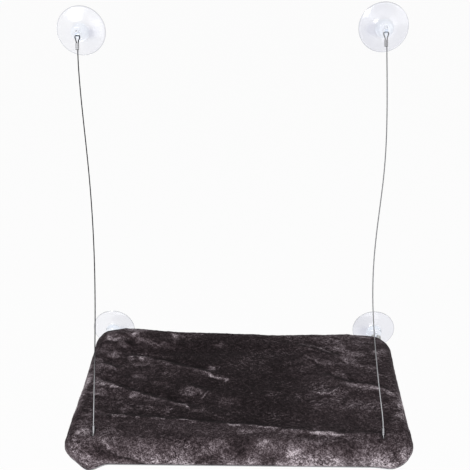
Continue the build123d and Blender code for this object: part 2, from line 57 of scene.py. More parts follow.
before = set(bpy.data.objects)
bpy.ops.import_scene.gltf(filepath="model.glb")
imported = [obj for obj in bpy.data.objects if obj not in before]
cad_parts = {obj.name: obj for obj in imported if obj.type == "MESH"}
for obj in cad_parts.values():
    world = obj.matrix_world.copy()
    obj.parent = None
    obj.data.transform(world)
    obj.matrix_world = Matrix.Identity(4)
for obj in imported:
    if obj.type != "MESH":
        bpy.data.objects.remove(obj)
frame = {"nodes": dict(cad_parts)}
cad_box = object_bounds()

MM = 0.001

# Camera
IMAGE_PIXELS = 470
FOCAL_PIXELS = 770.23
SENSOR_WIDTH = 36.0
CAMERA_PLACE = Vector((45.24, -1288.3, 864.89)) * MM
CAMERA_YAW = math.radians(-2.543)
CAMERA_PITCH = math.radians(26.936)
CAMERA_ROLL = math.radians(-1.202)

# Stage: each lamp's place, size and power
FLOOR_SIZE = 60
FLOOR_PLACE = (0, 10, -1.1)
FLOOR_WHITENESS = 0.95
SKY_STRENGTH = 0.38
LAMP_TARGET = Vector((0, -0.2, 0.1))
LAMPS = {
    "key_light": ((-1.1, -2.2, 1.5), 1.0, 60),
    "fill_light": ((1.9, -1.4, 1.0), 1.6, 18),
    "front_light": ((0.2, -2.4, 0.3), 1.4, 16),
}

# Cable
CABLE_WIDTH = 1.8 * MM
CABLE_STRANDS = 6
CABLE_LAY = 11 * MM
CABLE_RING = 18
CABLE_STEP = 1.0 * MM
STRAND_RELIEF = 0.1
# Each cable's share of painted shade above the mat
CABLE_PAINTED_SHADE = {"left": 1.0, "right": 0.5}

# Cups: the section's numbers are in millimetres from the axis and the pane
# Painted grey shade over each cup's disc
CUP_PAINTED_GREY = {"upper_left": 0.05, "upper_right": 0.4, "rear_left": 0.1, "rear_right": 0.35}
CUP_RIM = 41.0
CUP_LAND = 39.4
CUP_EDGE = 1.2
CUP_HOLLOW = 5.2
CUP_BACK = 7.0
CUP_BACK_CURVE = 0.82
HUB_FOOT = 17.5
HUB_SECTION = [
    (17.0, -8.9), (15.6, -9.6), (14.9, -10.6), (14.6, -12.0), (14.2, -15.0), (13.8, -17.6),
    (13.5, -18.7), (12.8, -20.0), (11.6, -21.1), (10.2, -21.8), (8.6, -22.0), (2.0, -22.0),
]
LUG_THICKNESS = 5.0 * MM
LUG_RADIUS = 6.0 * MM
LUG_ROOT = 11.5 * MM
EYE_Y = -31.0 * MM
EYE_RADIUS = 2.6 * MM

# What the folded-up plush meets, in millimetres: the pane beyond one spread from a rear cup's
# axis, the hub within the other and the skirt between, and how far each reaches
RIM_SPREAD, HUB_SPREAD = 43, 15
PANE_REACH, RIM_REACH, HUB_REACH = 0.6, 2.2, 22.8

# Mat
ROLL_RADIUS = 23 * MM
BEND_RADIUS = 20 * MM
MAT_GRAIN = 2.2 * MM
SWELL_GRAIN = 5 * MM
SWELL_FRAMES = 20
SWELL_LIMIT = 5 * MM
SWELL_SEAM = -ROLL_RADIUS * 0.45
SWELL_SHARES = np.array([0.4, 0.5, 0.8])
CLOTH_SEAM = -14 * MM
CLOTH_THICKNESS = 0.9 * MM
CLOTH_TURN_UP = 12 * MM
WEAVE_PITCH = 1.1 * MM
FOLD_LIMIT = math.radians(80)

# The front roll's axis, in millimetres from the pane
FRONT_AXIS = 331.0

# Where the base cloth is cut so that it can hang at the front corners, in millimetres
CORNER_CUTS_ACROSS = range(206, 281, 6)
CORNER_CUTS_BACK = range(295, 355, 6)

# Zipper
SLOT_END_GAP = 1.5 * MM
SLOT_SIDE_GAP = 1.2 * MM
RIB_PITCH = 0.9 * MM
RIPPLE_PITCH = 21 * MM
RIPPLE_HEIGHT = 0.12 * MM

# The routes of the cables, from the tail at the eye round to the tail at the front tube: where
# each lies across, and where both lie toward the room and up
CABLE_ACROSS = {
    "left": (
        -0.26200, -0.26200, -0.26490, -0.26490, -0.25710, -0.25710, -0.26000, -0.26000, -0.25640,
        -0.25120, -0.24560, -0.24040, -0.23620, -0.23310, -0.23100, -0.23000, -0.22980, -0.23020,
        -0.23100, *[-0.23170] * 8,
    ),
    "right": (
        0.23800, 0.23800, 0.23510, 0.23510, 0.24290, 0.24290, 0.24000, 0.24000, 0.24020, 0.23990,
        0.23840, 0.23460, 0.22820, 0.22160, 0.21700, 0.21560, 0.21740, 0.22100, 0.22580,
        *[0.23170] * 8,
    ),
}
CABLE_DOWN = (
    (-0.04043, 0.57436), (-0.03694, 0.58089), (-0.03359, 0.58715), (-0.03157, 0.59094),
    (-0.03157, 0.59094), (-0.03359, 0.58715), (-0.03694, 0.58089), (-0.04892, 0.55849),
    (-0.07110, 0.51720), (-0.09420, 0.47420), (-0.11730, 0.43110), (-0.14040, 0.38810),
    (-0.16350, 0.34500), (-0.18660, 0.30200), (-0.20980, 0.25890), (-0.23290, 0.21590),
    (-0.25600, 0.17280), (-0.27910, 0.12980), (-0.30220, 0.08670), (-0.32523, 0.04377),
    (-0.33744, 0.02093), (-0.36347, 0.01329), (-0.36585, -0.00975), (-0.34542, -0.02067),
    (-0.32758, -0.00590), (-0.33568, 0.01999), (-0.32960, 0.03136),
)

# The plush's folds, in millimetres: the crest's line seen from above, its height, and how
# far it falls off behind it and in front of it
FOLDS = [
    (
        [(-225, -128), (-201, -132), (-177, -134), (-119, -157), (-72, -171), (-27, -185)],
        6.5, 9, 34,
    ),
    (
        [(-270, -200), (-221, -217), (-185, -233), (-135, -251), (-91, -265), (-52, -277)],
        6.0, 8, 30,
    ),
    ([(96, -92), (125, -103), (160, -120), (192, -135)], 5.0, 11, 20),
    ([(135, -172), (147, -180), (182, -200), (225, -216), (268, -236)], 6.0, 8, 30),
    ([(118, -220), (136, -228), (155, -230), (172, -219), (184, -203)], 2.2, 5, 5),
    ([(-95, -208), (-72, -221), (-40, -231)], 2.5, 7, 12),
    ([(-262, -158), (-238, -163), (-214, -172)], 4.0, 9, 16),
    ([(-256, -98), (-236, -102), (-214, -100), (-190, -108)], 3.0, 9, 14),
]
FRONT_CREASE = [
    (-262, -302), (-233, -300), (-191, -298), (-148, -300), (-87, -303), (-32, -312), (25, -316),
    (81, -329), (110, -331), (154, -333), (228, -336), (262, -330),
]
REAR_EDGE_RISE = [
    (-290, 4), (-268, 9), (-248, 13), (-228, 14.5), (-209, 14.5), (-189, 12.5), (-170, 9.5),
    (-131, 5.5), (-73, 3.0), (-16, 0), (42, 0), (100, -2.0), (157, -1.5), (200, 1.0), (222, -1.0),
    (245, -3.4), (290, -3.0),
]

# Where the cables go in at the front, in millimetres: place across and along, reach across and
# along, and depth
CABLE_SLITS = [(-231.7, -336.0, 2.6, 7.0, 9.0), (231.7, -336.0, 2.6, 7.0, 9.0)]

# Where the plush's top is lighter, in millimetres: pile raised by brushing, and painted highlights
# on crests, the lip and the rear roll: middle, reach along and across, turn in degrees and strength
TOP_PATCHES = [
    (-247, -85, 15, 7, 10, 0.75), (-258, -113, 16, 12, 0, 0.55), (-210, -53, 18, 6, 0, 0.5),
    (-202, -73, 7, 9, 0, 0.9), (-128, -73, 10, 10, 0, 0.75), (-41, -92, 14, 6, 0, 0.35),
    (-235, -128, 20, 9, -15, 0.65), (-191, -133, 14, 3.5, -8, 1.0), (-137, -150, 13, 5, -20, 0.55),
    (-85, -171, 14, 6, -18, 0.45), (-40, -187, 17, 5, -12, 1.0), (-53, -163, 8, 7, 0, 0.5),
    (-248, -165, 20, 9, -8, 0.6), (-247, -204, 16, 8, -15, 0.7), (-212, -221, 16, 6, -18, 0.75),
    (-179, -240, 14, 8, -10, 0.55), (-89, -265, 18, 6, -18, 0.8), (-66, -272, 9, 5, 0, 0.5),
    (-121, -277, 12, 7, 20, 0.4), (-80, -226, 20, 12, 10, 0.4), (-22, -248, 18, 13, 0, 0.35),
    (-193, -299, 14, 3.5, 0, 1.0), (-162, -302, 10, 4, 0, 0.5), (-74, -306, 12, 3, 0, 0.6),
    (-2, -315, 18, 3.5, -8, 1.0), (49, -324, 20, 4, -10, 0.65), (-251, -297, 18, 7, 0, 0.5),
    (-243, -335, 16, 12, 0, 0.65), (124, -91, 14, 5, -25, 0.5), (157, -108, 12, 6, -25, 0.65),
    (192, -143, 14, 7, -25, 0.5), (135, -136, 12, 10, -20, 0.4), (225, -91, 28, 13, 0, 0.4),
    (255, -188, 15, 4, -15, 0.5), (180, -204, 12, 4, -25, 0.5), (213, -221, 24, 6, -15, 0.6),
    (254, -232, 20, 7, -5, 0.6), (150, -231, 14, 3, 0, 0.5), (112, -158, 14, 9, 0, 0.3),
    (128, -262, 20, 14, 10, 0.3), (217, -273, 22, 12, 0, 0.3), (130, -320, 16, 7, 0, 0.45),
    (135, -339, 28, 6, 0, 1.0), (216, -337, 18, 3, 0, 0.5), (272, -104, 12, 26, 0, 0.5),
    (256, -120, 16, 20, -20, 0.42), (266, -70, 15, 20, 0, 0.5), (280, -130, 10, 60, 0, 0.45),
    (-200, -60, 46, 7, 0, 0.75), (222, -60, 42, 8, 0, 0.7), (200, -213, 42, 5, -17, 0.5),
    (-246, -68, 14, 8, 0, 0.6), (-232, -84, 16, 4, 8, 0.8), (-170, -60, 8, 6, 0, 0.5),
    (-95, -55, 12, 6, 0, 0.35),
]

# The same on its front, unrolled from the top line of the front roll, for pile raised by brushing
# and painted sheen and highlights: middle, reach across and down, turn in degrees and strength
FRONT_PATCHES = [
    (-252, -30, 13, 7, 0, 0.4), (-241, 7, 15, 14, 0, 0.4), (-205, 22, 7, 5, 20, 0.95),
    (-218, 4, 10, 8, 0, 0.35), (-165, 33, 17, 5, 22, 0.5), (-131, 41, 10, 10, 0, 0.75),
    (-82, 46, 16, 9, 0, 0.75), (-56, 21, 11, 10, 0, 0.45), (-32, 21, 17, 10, -10, 0.65),
    (-187, 50, 28, 6, 0, 0.6), (-77, 53, 97, 5, 0, 0.6), (-234, 48, 20, 9, 0, 0.5),
    (-104, 20, 6, 3, 0, 0.4), (14, 2, 15, 11, 10, 0.55), (38, 21, 15, 9, 0, 0.8),
    (141, 5, 31, 4, 0, 0.95), (195, 5, 22, 5, 0, 0.4), (202, 20, 13, 5, 25, 0.4),
    (160, 36, 27, 8, 8, 0.9), (90, 31, 24, 14, 0, 0.85), (125, 18, 14, 7, 0, 0.6),
    (20, 51, 36, 6, 0, 0.75), (132, 47, 88, 8, 0, 0.9), (223, 41, 24, 12, 0, 0.75),
    (30, 0, 75, 11, 0, 0.42), (38, 30, 14, 12, 0, 0.55), (262, 36, 14, 12, 0, 0.45),
    (129, -10, 15, 5, 0, 0.55),
]
# The same where it lies darker
FRONT_HOLLOWS = [
    (-207, 33, 22, 4, 14, 0.8), (-116, 8, 18, 10, 0, 0.65), (-83, 18, 17, 11, 0, 0.9),
    (-185, -8, 30, 12, 0, 0.45), (-44, 37, 24, 6, 0, 0.7), (5, 25, 20, 10, 0, 0.85),
    (52, 35, 16, 6, 0, 0.5), (142, 18, 17, 6, 0, 0.6), (175, 22, 16, 8, 10, 0.6),
    (230, 21, 13, 8, 0, 0.5), (246, 27, 7, 7, 40, 0.7), (-265, 14, 10, 20, 0, 0.4),
]

# Thin strokes where the pile catches the light on a fold, in millimetres on the top: the
# stroke's line, half its width and its strength
TOP_STROKES = [
    ([(-196, -132), (-186, -131), (-172, -133), (-164, -136)], 1.5, 1.0),
    ([(-150, -141), (-128, -148), (-112, -154)], 1.4, 0.45), ([(-98, -160), (-80, -167)], 1.3, 0.5),
    ([(-68, -172), (-58, -176), (-50, -181)], 1.3, 0.5),
    ([(-58, -184), (-44, -187), (-32, -187)], 2.8, 0.8),
    ([(-104, -170), (-118, -184), (-134, -195)], 1.0, 0.5),
    ([(-228, -222), (-214, -222), (-196, -227)], 2.0, 0.85),
    ([(-186, -232), (-174, -236), (-168, -243)], 2.4, 0.6),
    ([(-106, -256), (-94, -262), (-80, -268)], 1.8, 0.8),
    ([(-76, -271), (-60, -272), (-50, -275)], 1.6, 0.6), ([(-116, -279), (-109, -272)], 1.1, 0.6),
    ([(-66, -244), (-58, -232), (-52, -222)], 1.3, 0.6),
    ([(-92, -230), (-84, -236), (-74, -234)], 1.5, 0.5), ([(-39, -155), (-40, -165)], 1.1, 0.6),
    ([(-133, -67), (-124, -76)], 1.6, 0.6), ([(-206, -66), (-202, -76)], 1.5, 0.7),
    ([(-36, -88), (-28, -91), (-20, -88)], 0.9, 0.5),
    ([(118, -99), (130, -101), (140, -103)], 1.0, 0.6),
    ([(150, -107), (168, -118), (178, -126)], 1.2, 0.35), ([(226, -166), (248, -176)], 1.0, 0.4),
    ([(118, -220), (134, -229), (149, -232), (165, -225), (177, -212)], 2.0, 0.55),
    ([(182, -204), (206, -211), (232, -218)], 2.2, 0.45), ([(240, -222), (262, -228)], 2.6, 0.5),
    ([(110, -85), (129, -91), (146, -98), (162, -107)], 3.0, 0.62),
    ([(162, -113), (176, -124), (190, -132), (202, -141)], 5.0, 0.5),
    ([(113, -118), (127, -131), (139, -142), (152, -153)], 3.0, 0.42),
    ([(163, -201), (183, -208), (206, -216), (236, -225), (268, -234)], 6.0, 0.52),
    ([(225, -168), (246, -182), (266, -191)], 1.6, 0.5), ([(16, -229), (24, -232)], 1.0, 0.4),
    ([(-2, -258), (6, -262)], 1.4, 0.45), ([(120, -262), (128, -270)], 1.4, 0.4),
]
# The same where painted shade darkens the valleys beside the folds
TOP_VALLEY_SHADE = [
    ([(104, -104), (118, -118), (130, -140), (146, -164)], 4.0, 0.7),
    ([(146, -164), (180, -192)], 4.0, 0.5), ([(-214, -146), (-196, -150), (-178, -146)], 4.0, 0.5),
    ([(-120, -268), (-92, -276), (-60, -284)], 4.0, 0.5),
    ([(150, -184), (174, -195), (199, -204), (222, -211), (239, -216), (262, -224)], 3.2, 0.85),
    ([(118, -110), (136, -116), (150, -115), (162, -112)], 3.0, 0.7),
    ([(142, -127), (160, -134), (174, -149), (187, -164)], 3.5, 0.6),
    ([(221, -164), (240, -175), (256, -182)], 2.5, 0.6),
]
# Creases on the front, unrolled, with painted shade in them: the crease's line, half its width and
# its depth
FRONT_CREASES = [
    ([(-230, 22), (-196, 32), (-172, 37), (-155, 43), (-138, 50)], 2.8, 2.2),
    ([(238, 19), (247, 26), (256, 35)], 2.8, 1.8),
    ([(92, 9), (130, 11), (158, 13), (184, 18)], 3.5, 1.0),
]
# Painted highlight strokes on the front, unrolled
FRONT_STROKES = [
    ([(-170, 5), (-158, 14), (-151, 22), (-149, 31)], 1.3, 0.45),
    ([(190, 22), (206, 26), (222, 34)], 2.0, 0.5), ([(-86, 24), (-70, 26)], 1.6, 0.4),
]
# Painted highlight strokes on the lip of the front crease, on the top
LIP_STROKES = [
    ([(-212, -298), (-196, -296), (-182, -296)], 1.3, 1.0),
    ([(-168, -299), (-158, -301)], 1.3, 0.8),
    ([(-148, -301), (-126, -302), (-112, -304)], 1.5, 0.65),
    ([(-104, -303), (-82, -303), (-64, -307)], 1.2, 0.8),
    ([(-22, -313), (-4, -316), (10, -317)], 2.0, 0.9),
    ([(10, -317), (44, -324), (72, -328)], 1.8, 0.8), ([(72, -328), (108, -332)], 1.5, 0.65),
    ([(108, -335), (142, -337), (176, -338)], 2.6, 0.9),
]


def deselect():
    """Nothing is selected or in edit mode."""
    if bpy.context.object and bpy.context.object.mode != "OBJECT":
        bpy.ops.object.mode_set(mode="OBJECT")
    bpy.ops.object.select_all(action="DESELECT")


def choose(piece):
    """Only this piece is selected and active."""
    deselect()
    piece.select_set(True)
    bpy.context.view_layer.objects.active = piece


def named(name):
    """Names the active object and its mesh."""
    piece = bpy.context.object
    piece.name = name
    piece.data.name = name
    return piece


def edit(piece, kind="FACE"):
    """Edit mode on a piece, with nothing selected."""
    choose(piece)
    bpy.ops.object.mode_set(mode="EDIT")
    bpy.ops.mesh.select_mode(type=kind)
    bpy.ops.mesh.select_all(action="DESELECT")


def cut(place, direction, **clear):
    """Cuts the whole mesh along a plane, in edit mode."""
    bpy.ops.mesh.select_all(action="SELECT")
    bpy.ops.mesh.bisect(plane_co=place, plane_no=direction, **clear)


def pick(piece, wanted, kind="FACE"):
    """Selects the faces, edges or vertices that a test accepts by their places, in edit mode."""
    shape = bmesh.from_edit_mesh(piece.data)
    elements, places = {
        "FACE": (shape.faces, lambda face: [face.calc_center_median()]),
        "EDGE": (shape.edges, lambda edge: [corner.co for corner in edge.verts]),
        "VERT": (shape.verts, lambda corner: [corner.co]),
    }[kind]
    for element in elements:
        element.select_set(bool(wanted(*places(element))))
    shape.select_flush_mode()
    bmesh.update_edit_mesh(piece.data)


def leave():
    """Back to object mode."""
    bpy.ops.object.mode_set(mode="OBJECT")


def modify(piece, kind, **settings):
    """Adds a modifier and applies it."""
    choose(piece)
    modifier = piece.modifiers.new(kind.lower(), kind)
    for name, value in settings.items():
        setattr(modifier, name, value)
    bpy.ops.object.modifier_apply(modifier=modifier.name)


def apply_transform():
    """Puts the active object's place, turn and size in its mesh."""
    bpy.ops.object.transform_apply(location=True, rotation=True, scale=True)


def disc(name, corners, radius, place, turn):
    """A filled circle at a place, turned."""
    deselect()
    bpy.ops.mesh.primitive_circle_add(
        vertices=corners, radius=radius, location=place, rotation=turn, fill_type="NGON"
    )
    piece = named(name)
    apply_transform()
    return piece


def settle(piece, angle=35):
    """Puts a piece's place, turn and size in its mesh, with outward normals."""
    choose(piece)
    apply_transform()
    bpy.ops.object.mode_set(mode="EDIT")
    bpy.ops.mesh.select_all(action="SELECT")
    bpy.ops.mesh.remove_doubles(threshold=0.00001)
    bpy.ops.mesh.normals_make_consistent(inside=False)
    leave()
    bpy.ops.object.shade_smooth_by_angle(angle=math.radians(angle))
    return piece


def copied(piece, name, offset):
    """A copy of a piece with a mesh of its own, moved by an offset."""
    choose(piece)
    bpy.ops.object.duplicate(linked=False)
    copy = named(name)
    copy.data.transform(Matrix.Translation(offset))
    return copy


def vertices(piece, kind="co"):
    """A piece's vertex places as an array, or their normals."""
    numbers = np.empty(len(piece.data.vertices) * 3)
    piece.data.vertices.foreach_get(kind, numbers)
    return numbers.reshape(-1, 3)


def move_to(piece, places):
    """Gives a piece's vertices new places."""
    piece.data.vertices.foreach_set("co", places.ravel())
    piece.data.update()


def remember(piece, name, values):
    """Keeps a value for each vertex, for the piece's finish to read."""
    layer = piece.data.attributes.new(name, "FLOAT", "POINT")
    layer.data.foreach_set("value", np.asarray(values, np.float32))


def middle(node, axis):
    """The middle of a CAD node's box along an axis."""
    low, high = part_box(node)
    return (low[axis] + high[axis]) / 2


def smooth_step(values, low, high):
    """0 below low, 1 above high and an even turn between."""
    share = np.clip((values - low) / (high - low), 0, 1)
    return share * share * (3 - 2 * share)


def bell(values, reach):
    """1 at zero, falling off evenly to both sides."""
    return np.exp(-((values / reach) ** 2))


def rough(places, wavelength, seed, detail):
    """Even noise over places, from -1 to 1, with a feature size in metres."""
    start = Vector((seed, seed * 0.37, -seed * 0.61))
    return np.array([
        noise.fractal(Vector(place) / wavelength + start, 1.0, 2.0, detail) for place in places
    ])


# Finishes


class Signal:
    """A varying value in a node tree. Arithmetic on it adds Math nodes."""

    def __init__(self, nodes, socket):
        self.nodes = nodes
        self.socket = socket

    def math(self, operation, *values, clamp=False):
        settings = {"operation": operation, "use_clamp": clamp}
        return self.nodes.node("ShaderNodeMath", settings, dict(enumerate(values)))

    def __add__(self, other):
        return self.math("ADD", self, other)

    def __sub__(self, other):
        return self.math("SUBTRACT", self, other)

    def __rsub__(self, other):
        return self.math("SUBTRACT", other, self)

    def __mul__(self, other):
        return self.math("MULTIPLY", self, other)

    def __truediv__(self, other):
        return self.math("DIVIDE", self, other)

    def wave(self):
        """Its sine, from -1 to 1."""
        return self.math("SINE", self)

    def within(self):
        """Kept between 0 and 1."""
        return self.math("ADD", self, 0.0, clamp=True)

    def ramp(self, low, high):
        """0 below low, 1 above high and an even turn between."""
        inputs = {"Value": self, "From Min": low, "From Max": high}
        return self.nodes.node("ShaderNodeMapRange", {"interpolation_type": "SMOOTHSTEP"}, inputs)


class Nodes:
    """A node tree that takes new nodes."""

    def __init__(self, tree):
        self.tree = tree

    def node(self, kind, settings=None, inputs=None, output=0):
        """Adds a node with its settings and inputs, and gives one of its outputs."""
        made = self.tree.nodes.new(kind)
        for name, value in (settings or {}).items():
            if name == "stops":
                stops = made.color_ramp.elements
                while len(stops) < len(value):
                    stops.new(1.0)
                for stop, (place, colour) in zip(stops, value):
                    stop.position = place
                    stop.color = (*colour, 1.0)
            else:
                setattr(made, name, value)
        for key, value in (inputs or {}).items():
            if isinstance(value, Signal):
                self.tree.links.new(value.socket, made.inputs[key])
            else:
                made.inputs[key].default_value = value
        return Signal(self, made.outputs[output])

    def found(self, start):
        """The first node whose type starts this way."""
        return next(node for node in self.tree.nodes if node.type.startswith(start))


class Finish(Nodes):
    """A material around one Principled shader."""

    def __init__(self, name, **constants):
        self.material = bpy.data.materials.new(name)
        self.material.use_nodes = True
        super().__init__(self.material.node_tree)
        self.shader = self.found("BSDF_PRINCIPLED")
        for socket, value in constants.items():
            self.shader.inputs[socket.replace("_", " ")].default_value = value

    def place(self):
        """The point's own coordinates on the object."""
        return self.node("ShaderNodeTexCoord", output="Object")

    def stored(self, name):
        """A value kept on the mesh."""
        return self.node("ShaderNodeAttribute", {"attribute_name": name}, output="Fac")

    def noise(self, wavelength, detail=2.0, roughness=0.5, stretch=(1, 1, 1), turn=(0, 0, 0)):
        """Cloudy noise with a feature size in metres, drawn out along turned axes."""
        scale = tuple(wavelength * share for share in stretch)
        inputs = {"Vector": self.place(), "Scale": scale, "Rotation": turn}
        at = self.node("ShaderNodeMapping", {"vector_type": "TEXTURE"}, inputs)
        inputs = {"Vector": at, "Scale": 1.0, "Detail": detail, "Roughness": roughness}
        return self.node("ShaderNodeTexNoise", {}, inputs)

    def along(self, axis):
        """One of the point's three coordinates."""
        return self.node("ShaderNodeSeparateXYZ", {}, {"Vector": self.place()}, output=axis)

    def shades(self, factor, stops):
        """A colour from a value, by stops."""
        return self.node("ShaderNodeValToRGB", {"stops": stops}, {"Fac": factor})

    def mix(self, factor, first, second):
        """A colour between two."""
        first, second = (c if isinstance(c, Signal) else (*c, 1.0) for c in (first, second))
        inputs = {0: factor, 6: first, 7: second}
        return self.node("ShaderNodeMix", {"data_type": "RGBA"}, inputs, output=2)

    def relief(self, height, distance, strength):
        """Bumps on the surface."""
        inputs = {"Height": height, "Distance": distance, "Strength": strength}
        self.feed("Normal", self.node("ShaderNodeBump", {}, inputs))

    def feed(self, socket, value):
        """Links a varying value to the shader."""
        self.tree.links.new(value.socket, self.shader.inputs[socket])

    def on(self, *pieces):
        """Gives the finish to pieces, in place of what they have."""
        for piece in pieces:
            piece.data.materials.clear()
            piece.data.materials.append(self.material)


def plush_finish():
    """Short dark brown pile, mauve grey where it has been raised by brushing; the stored lightness
    also carries painted highlights, sheen and shade.
    """
    finish = Finish(
        "plush_pile", Roughness=0.9, Specular_IOR_Level=0.05,
        Sheen_Weight=0.03, Sheen_Roughness=0.5, Sheen_Tint=(0.8, 0.72, 0.76, 1.0),
    )
    # Lightness stored on the mesh: pile raised by brushing, with painted highlights, sheen and
    # shade
    brushed = finish.stored("brushed")
    tufts = finish.noise(11 * MM, 3.0, 0.6, (1.6, 1, 1), (0, 0, 0.3)).ramp(0.34, 0.7)
    clumps = finish.noise(4.6 * MM, 2.0, 0.6, (1.3, 0.9, 1), (0, 0.5, -0.4)).ramp(0.38, 0.72)
    hairs = finish.noise(2.0 * MM, 2.0, 0.62, (2.2, 0.7, 0.7), (0, 0.7, 0.6)).ramp(0.34, 0.7)
    flecks = finish.noise(7 * MM, 3.0, 0.68, (2.8, 0.6, 1), (0, 0, -0.35)).ramp(0.55, 0.76)
    strands = finish.noise(5 * MM, 3.0, 0.65, (3.0, 0.6, 1), (0, 0, 0.45)).ramp(0.4, 0.7)
    patches = finish.noise(42 * MM, 3.0, 0.62, (1.7, 1, 1)).ramp(0.45, 0.75)
    nap = brushed + patches * 0.2
    rough_nap = nap * nap
    lift = nap * 0.6 + rough_nap * (tufts * 0.42 + clumps * 0.38)
    grain = (hairs - 0.45) * (rough_nap * 0.85 + 0.12) + (clumps - 0.45) * 0.1
    ruffled = (hairs - 0.45) * 0.2 + (clumps - 0.45) * 0.12 + (strands - 0.4) * 0.2 + flecks * 0.26
    shade = (lift + grain + ruffled * (patches * 0.9 + 0.45) + 0.145).within()
    finish.feed("Base Color", finish.shades(shade, [
        (0.0, (0.0050, 0.0035, 0.0038)),
        (0.14, (0.0125, 0.0090, 0.0101)),
        (0.35, (0.046, 0.0345, 0.038)),
        (0.65, (0.170, 0.142, 0.155)),
        (1.0, (0.45, 0.40, 0.425)),
    ]))
    finish.relief(tufts * 0.4 + clumps * 0.35 + hairs * 0.25, 1.5 * MM, 0.7)
    return finish


def base_cloth_finish():
    """Grey plain-woven cloth."""
    finish = Finish("base_cloth_weave", Roughness=0.8, Sheen_Weight=0.15)
    warp, weft = ((finish.along(i) / WEAVE_PITCH * math.tau).wave() for i in range(2))
    weave = warp * weft
    wear = finish.noise(45 * MM, 3.0)
    fleck = finish.noise(1.2 * MM, 2.0)
    shade = (weave * 0.12 + wear * 0.4 + fleck * 0.35).within()
    finish.feed("Base Color", finish.shades(shade, [
        (0.0, (0.13, 0.13, 0.14)),
        (0.5, (0.24, 0.24, 0.25)),
        (1.0, (0.36, 0.36, 0.37)),
    ]))
    finish.relief(weave, 0.25 * MM, 0.6)
    return finish


def wadding_finish():
    """White matted polyester fibre."""
    finish = Finish("wadding_fibre", Roughness=0.95, Sheen_Weight=0.3)
    tufts = finish.noise(6 * MM, 4.0, 0.7)
    white = finish.shades(tufts, [(0.2, (0.6, 0.6, 0.58)), (0.8, (0.85, 0.85, 0.83))])
    finish.feed("Base Color", white)
    finish.relief(tufts, 2 * MM, 0.8)
    return finish


def clear_pvc_finish():
    """Clear soft PVC, bluish in the thick hub, with a painted grey line at the rim, and painted
    shade beside the hub and over each cup's disc.
    """
    finish = Finish("clear_pvc", Roughness=0.1, IOR=1.45, Transmission_Weight=1.0)
    spread = finish.stored("from_axis")
    depth = finish.stored("depth")
    veil = finish.stored("veil")
    hub = depth.ramp(8 * MM, 13 * MM)
    # Painted shade: a grey line round the rim, as an edge-on rim looks
    rim = spread.ramp(39.0 * MM, 40.3 * MM)
    cloud = finish.noise(11 * MM, 2.0)
    skirt = finish.mix(cloud, (0.985, 0.985, 1.0), (0.94, 0.945, 0.985))
    # Painted shade greys the skirt
    skirt = finish.mix(veil, skirt, (0.71, 0.72, 0.80))
    thick = finish.mix(cloud, (0.80, 0.87, 0.99), (0.90, 0.94, 1.0))
    tinted = finish.mix(hub, skirt, thick)
    finish.feed("Base Color", finish.mix(rim * 0.8, tinted, (0.62, 0.63, 0.67)))
    finish.feed("Roughness", cloud * 0.1 + 0.12)
    finish.relief(finish.noise(16 * MM, 1.0), 0.3 * MM, 0.2)
    return finish


def cable_finish(name, dark):
    """Twisted steel strands under a thin coat, darker between the strands. The argument dark is the
    share of painted shade that darkens the cable above the mat and dulls its metal and coat there.
    """
    finish = Finish(name, Specular_IOR_Level=0.1 * (1 - dark), Coat_Roughness=0.15)
    groove = finish.stored("groove")
    # Painted shade: the cable darkened above a height, by its share
    painted_cable_shade = finish.stored("height").ramp(0.05, 0.16) * dark
    grime = finish.noise(16 * MM, 3.0, 0.6)
    shade = (groove * 0.6 + grime * 0.4).within()
    steel = finish.shades(shade, [
        (0.0, (0.08, 0.08, 0.085)),
        (0.5, (0.22, 0.22, 0.23)),
        (1.0, (0.38, 0.38, 0.39)),
    ])
    finish.feed("Base Color", finish.mix(painted_cable_shade, steel, (0.006, 0.006, 0.006)))
    finish.feed("Metallic", 0.9 - painted_cable_shade * 0.9)
    finish.feed("Coat Weight", 0.4 - painted_cable_shade * 0.4)
    finish.feed("Roughness", grime * 0.2 + 0.4)
    return finish


def metal_finish(name, bright, dull, wavelength, roughness):
    """Plain metal with fine handling marks."""
    finish = Finish(name, Metallic=1.0)
    marks = finish.noise(wavelength, 4.0, 0.65, (1, 1, 0.3))
    finish.feed("Base Color", finish.mix(marks, dull, bright))
    finish.feed("Roughness", marks * 0.25 + roughness)
    finish.relief(marks, 0.08 * MM, 0.5)
    return finish


def plastic_finish(name, light, dark, wavelength, roughness):
    """Moulded plastic with a faint grain."""
    finish = Finish(name, Specular_IOR_Level=0.45)
    grain = finish.noise(wavelength, 3.0, 0.6)
    cloud = finish.noise(wavelength * 20, 2.0, 0.5)
    finish.feed("Base Color", finish.mix(cloud, dark, light))
    finish.feed("Roughness", grain * 0.2 + roughness)
    finish.relief(grain, 0.06 * MM, 0.5)
    return finish


def tape_finish():
    """Ribbed woven tape."""
    finish = Finish("zipper_tape_weave", Roughness=0.85, Sheen_Weight=0.2)
    fleck = finish.noise(1.5 * MM, 2.0)
    finish.feed("Base Color", finish.mix(fleck, (0.012, 0.011, 0.011), (0.035, 0.032, 0.032)))
    ribs = (finish.along(0) * (math.tau / RIB_PITCH)).wave()
    finish.relief(ribs, 0.15 * MM, 0.7)
    return finish


# Camera, floor and light


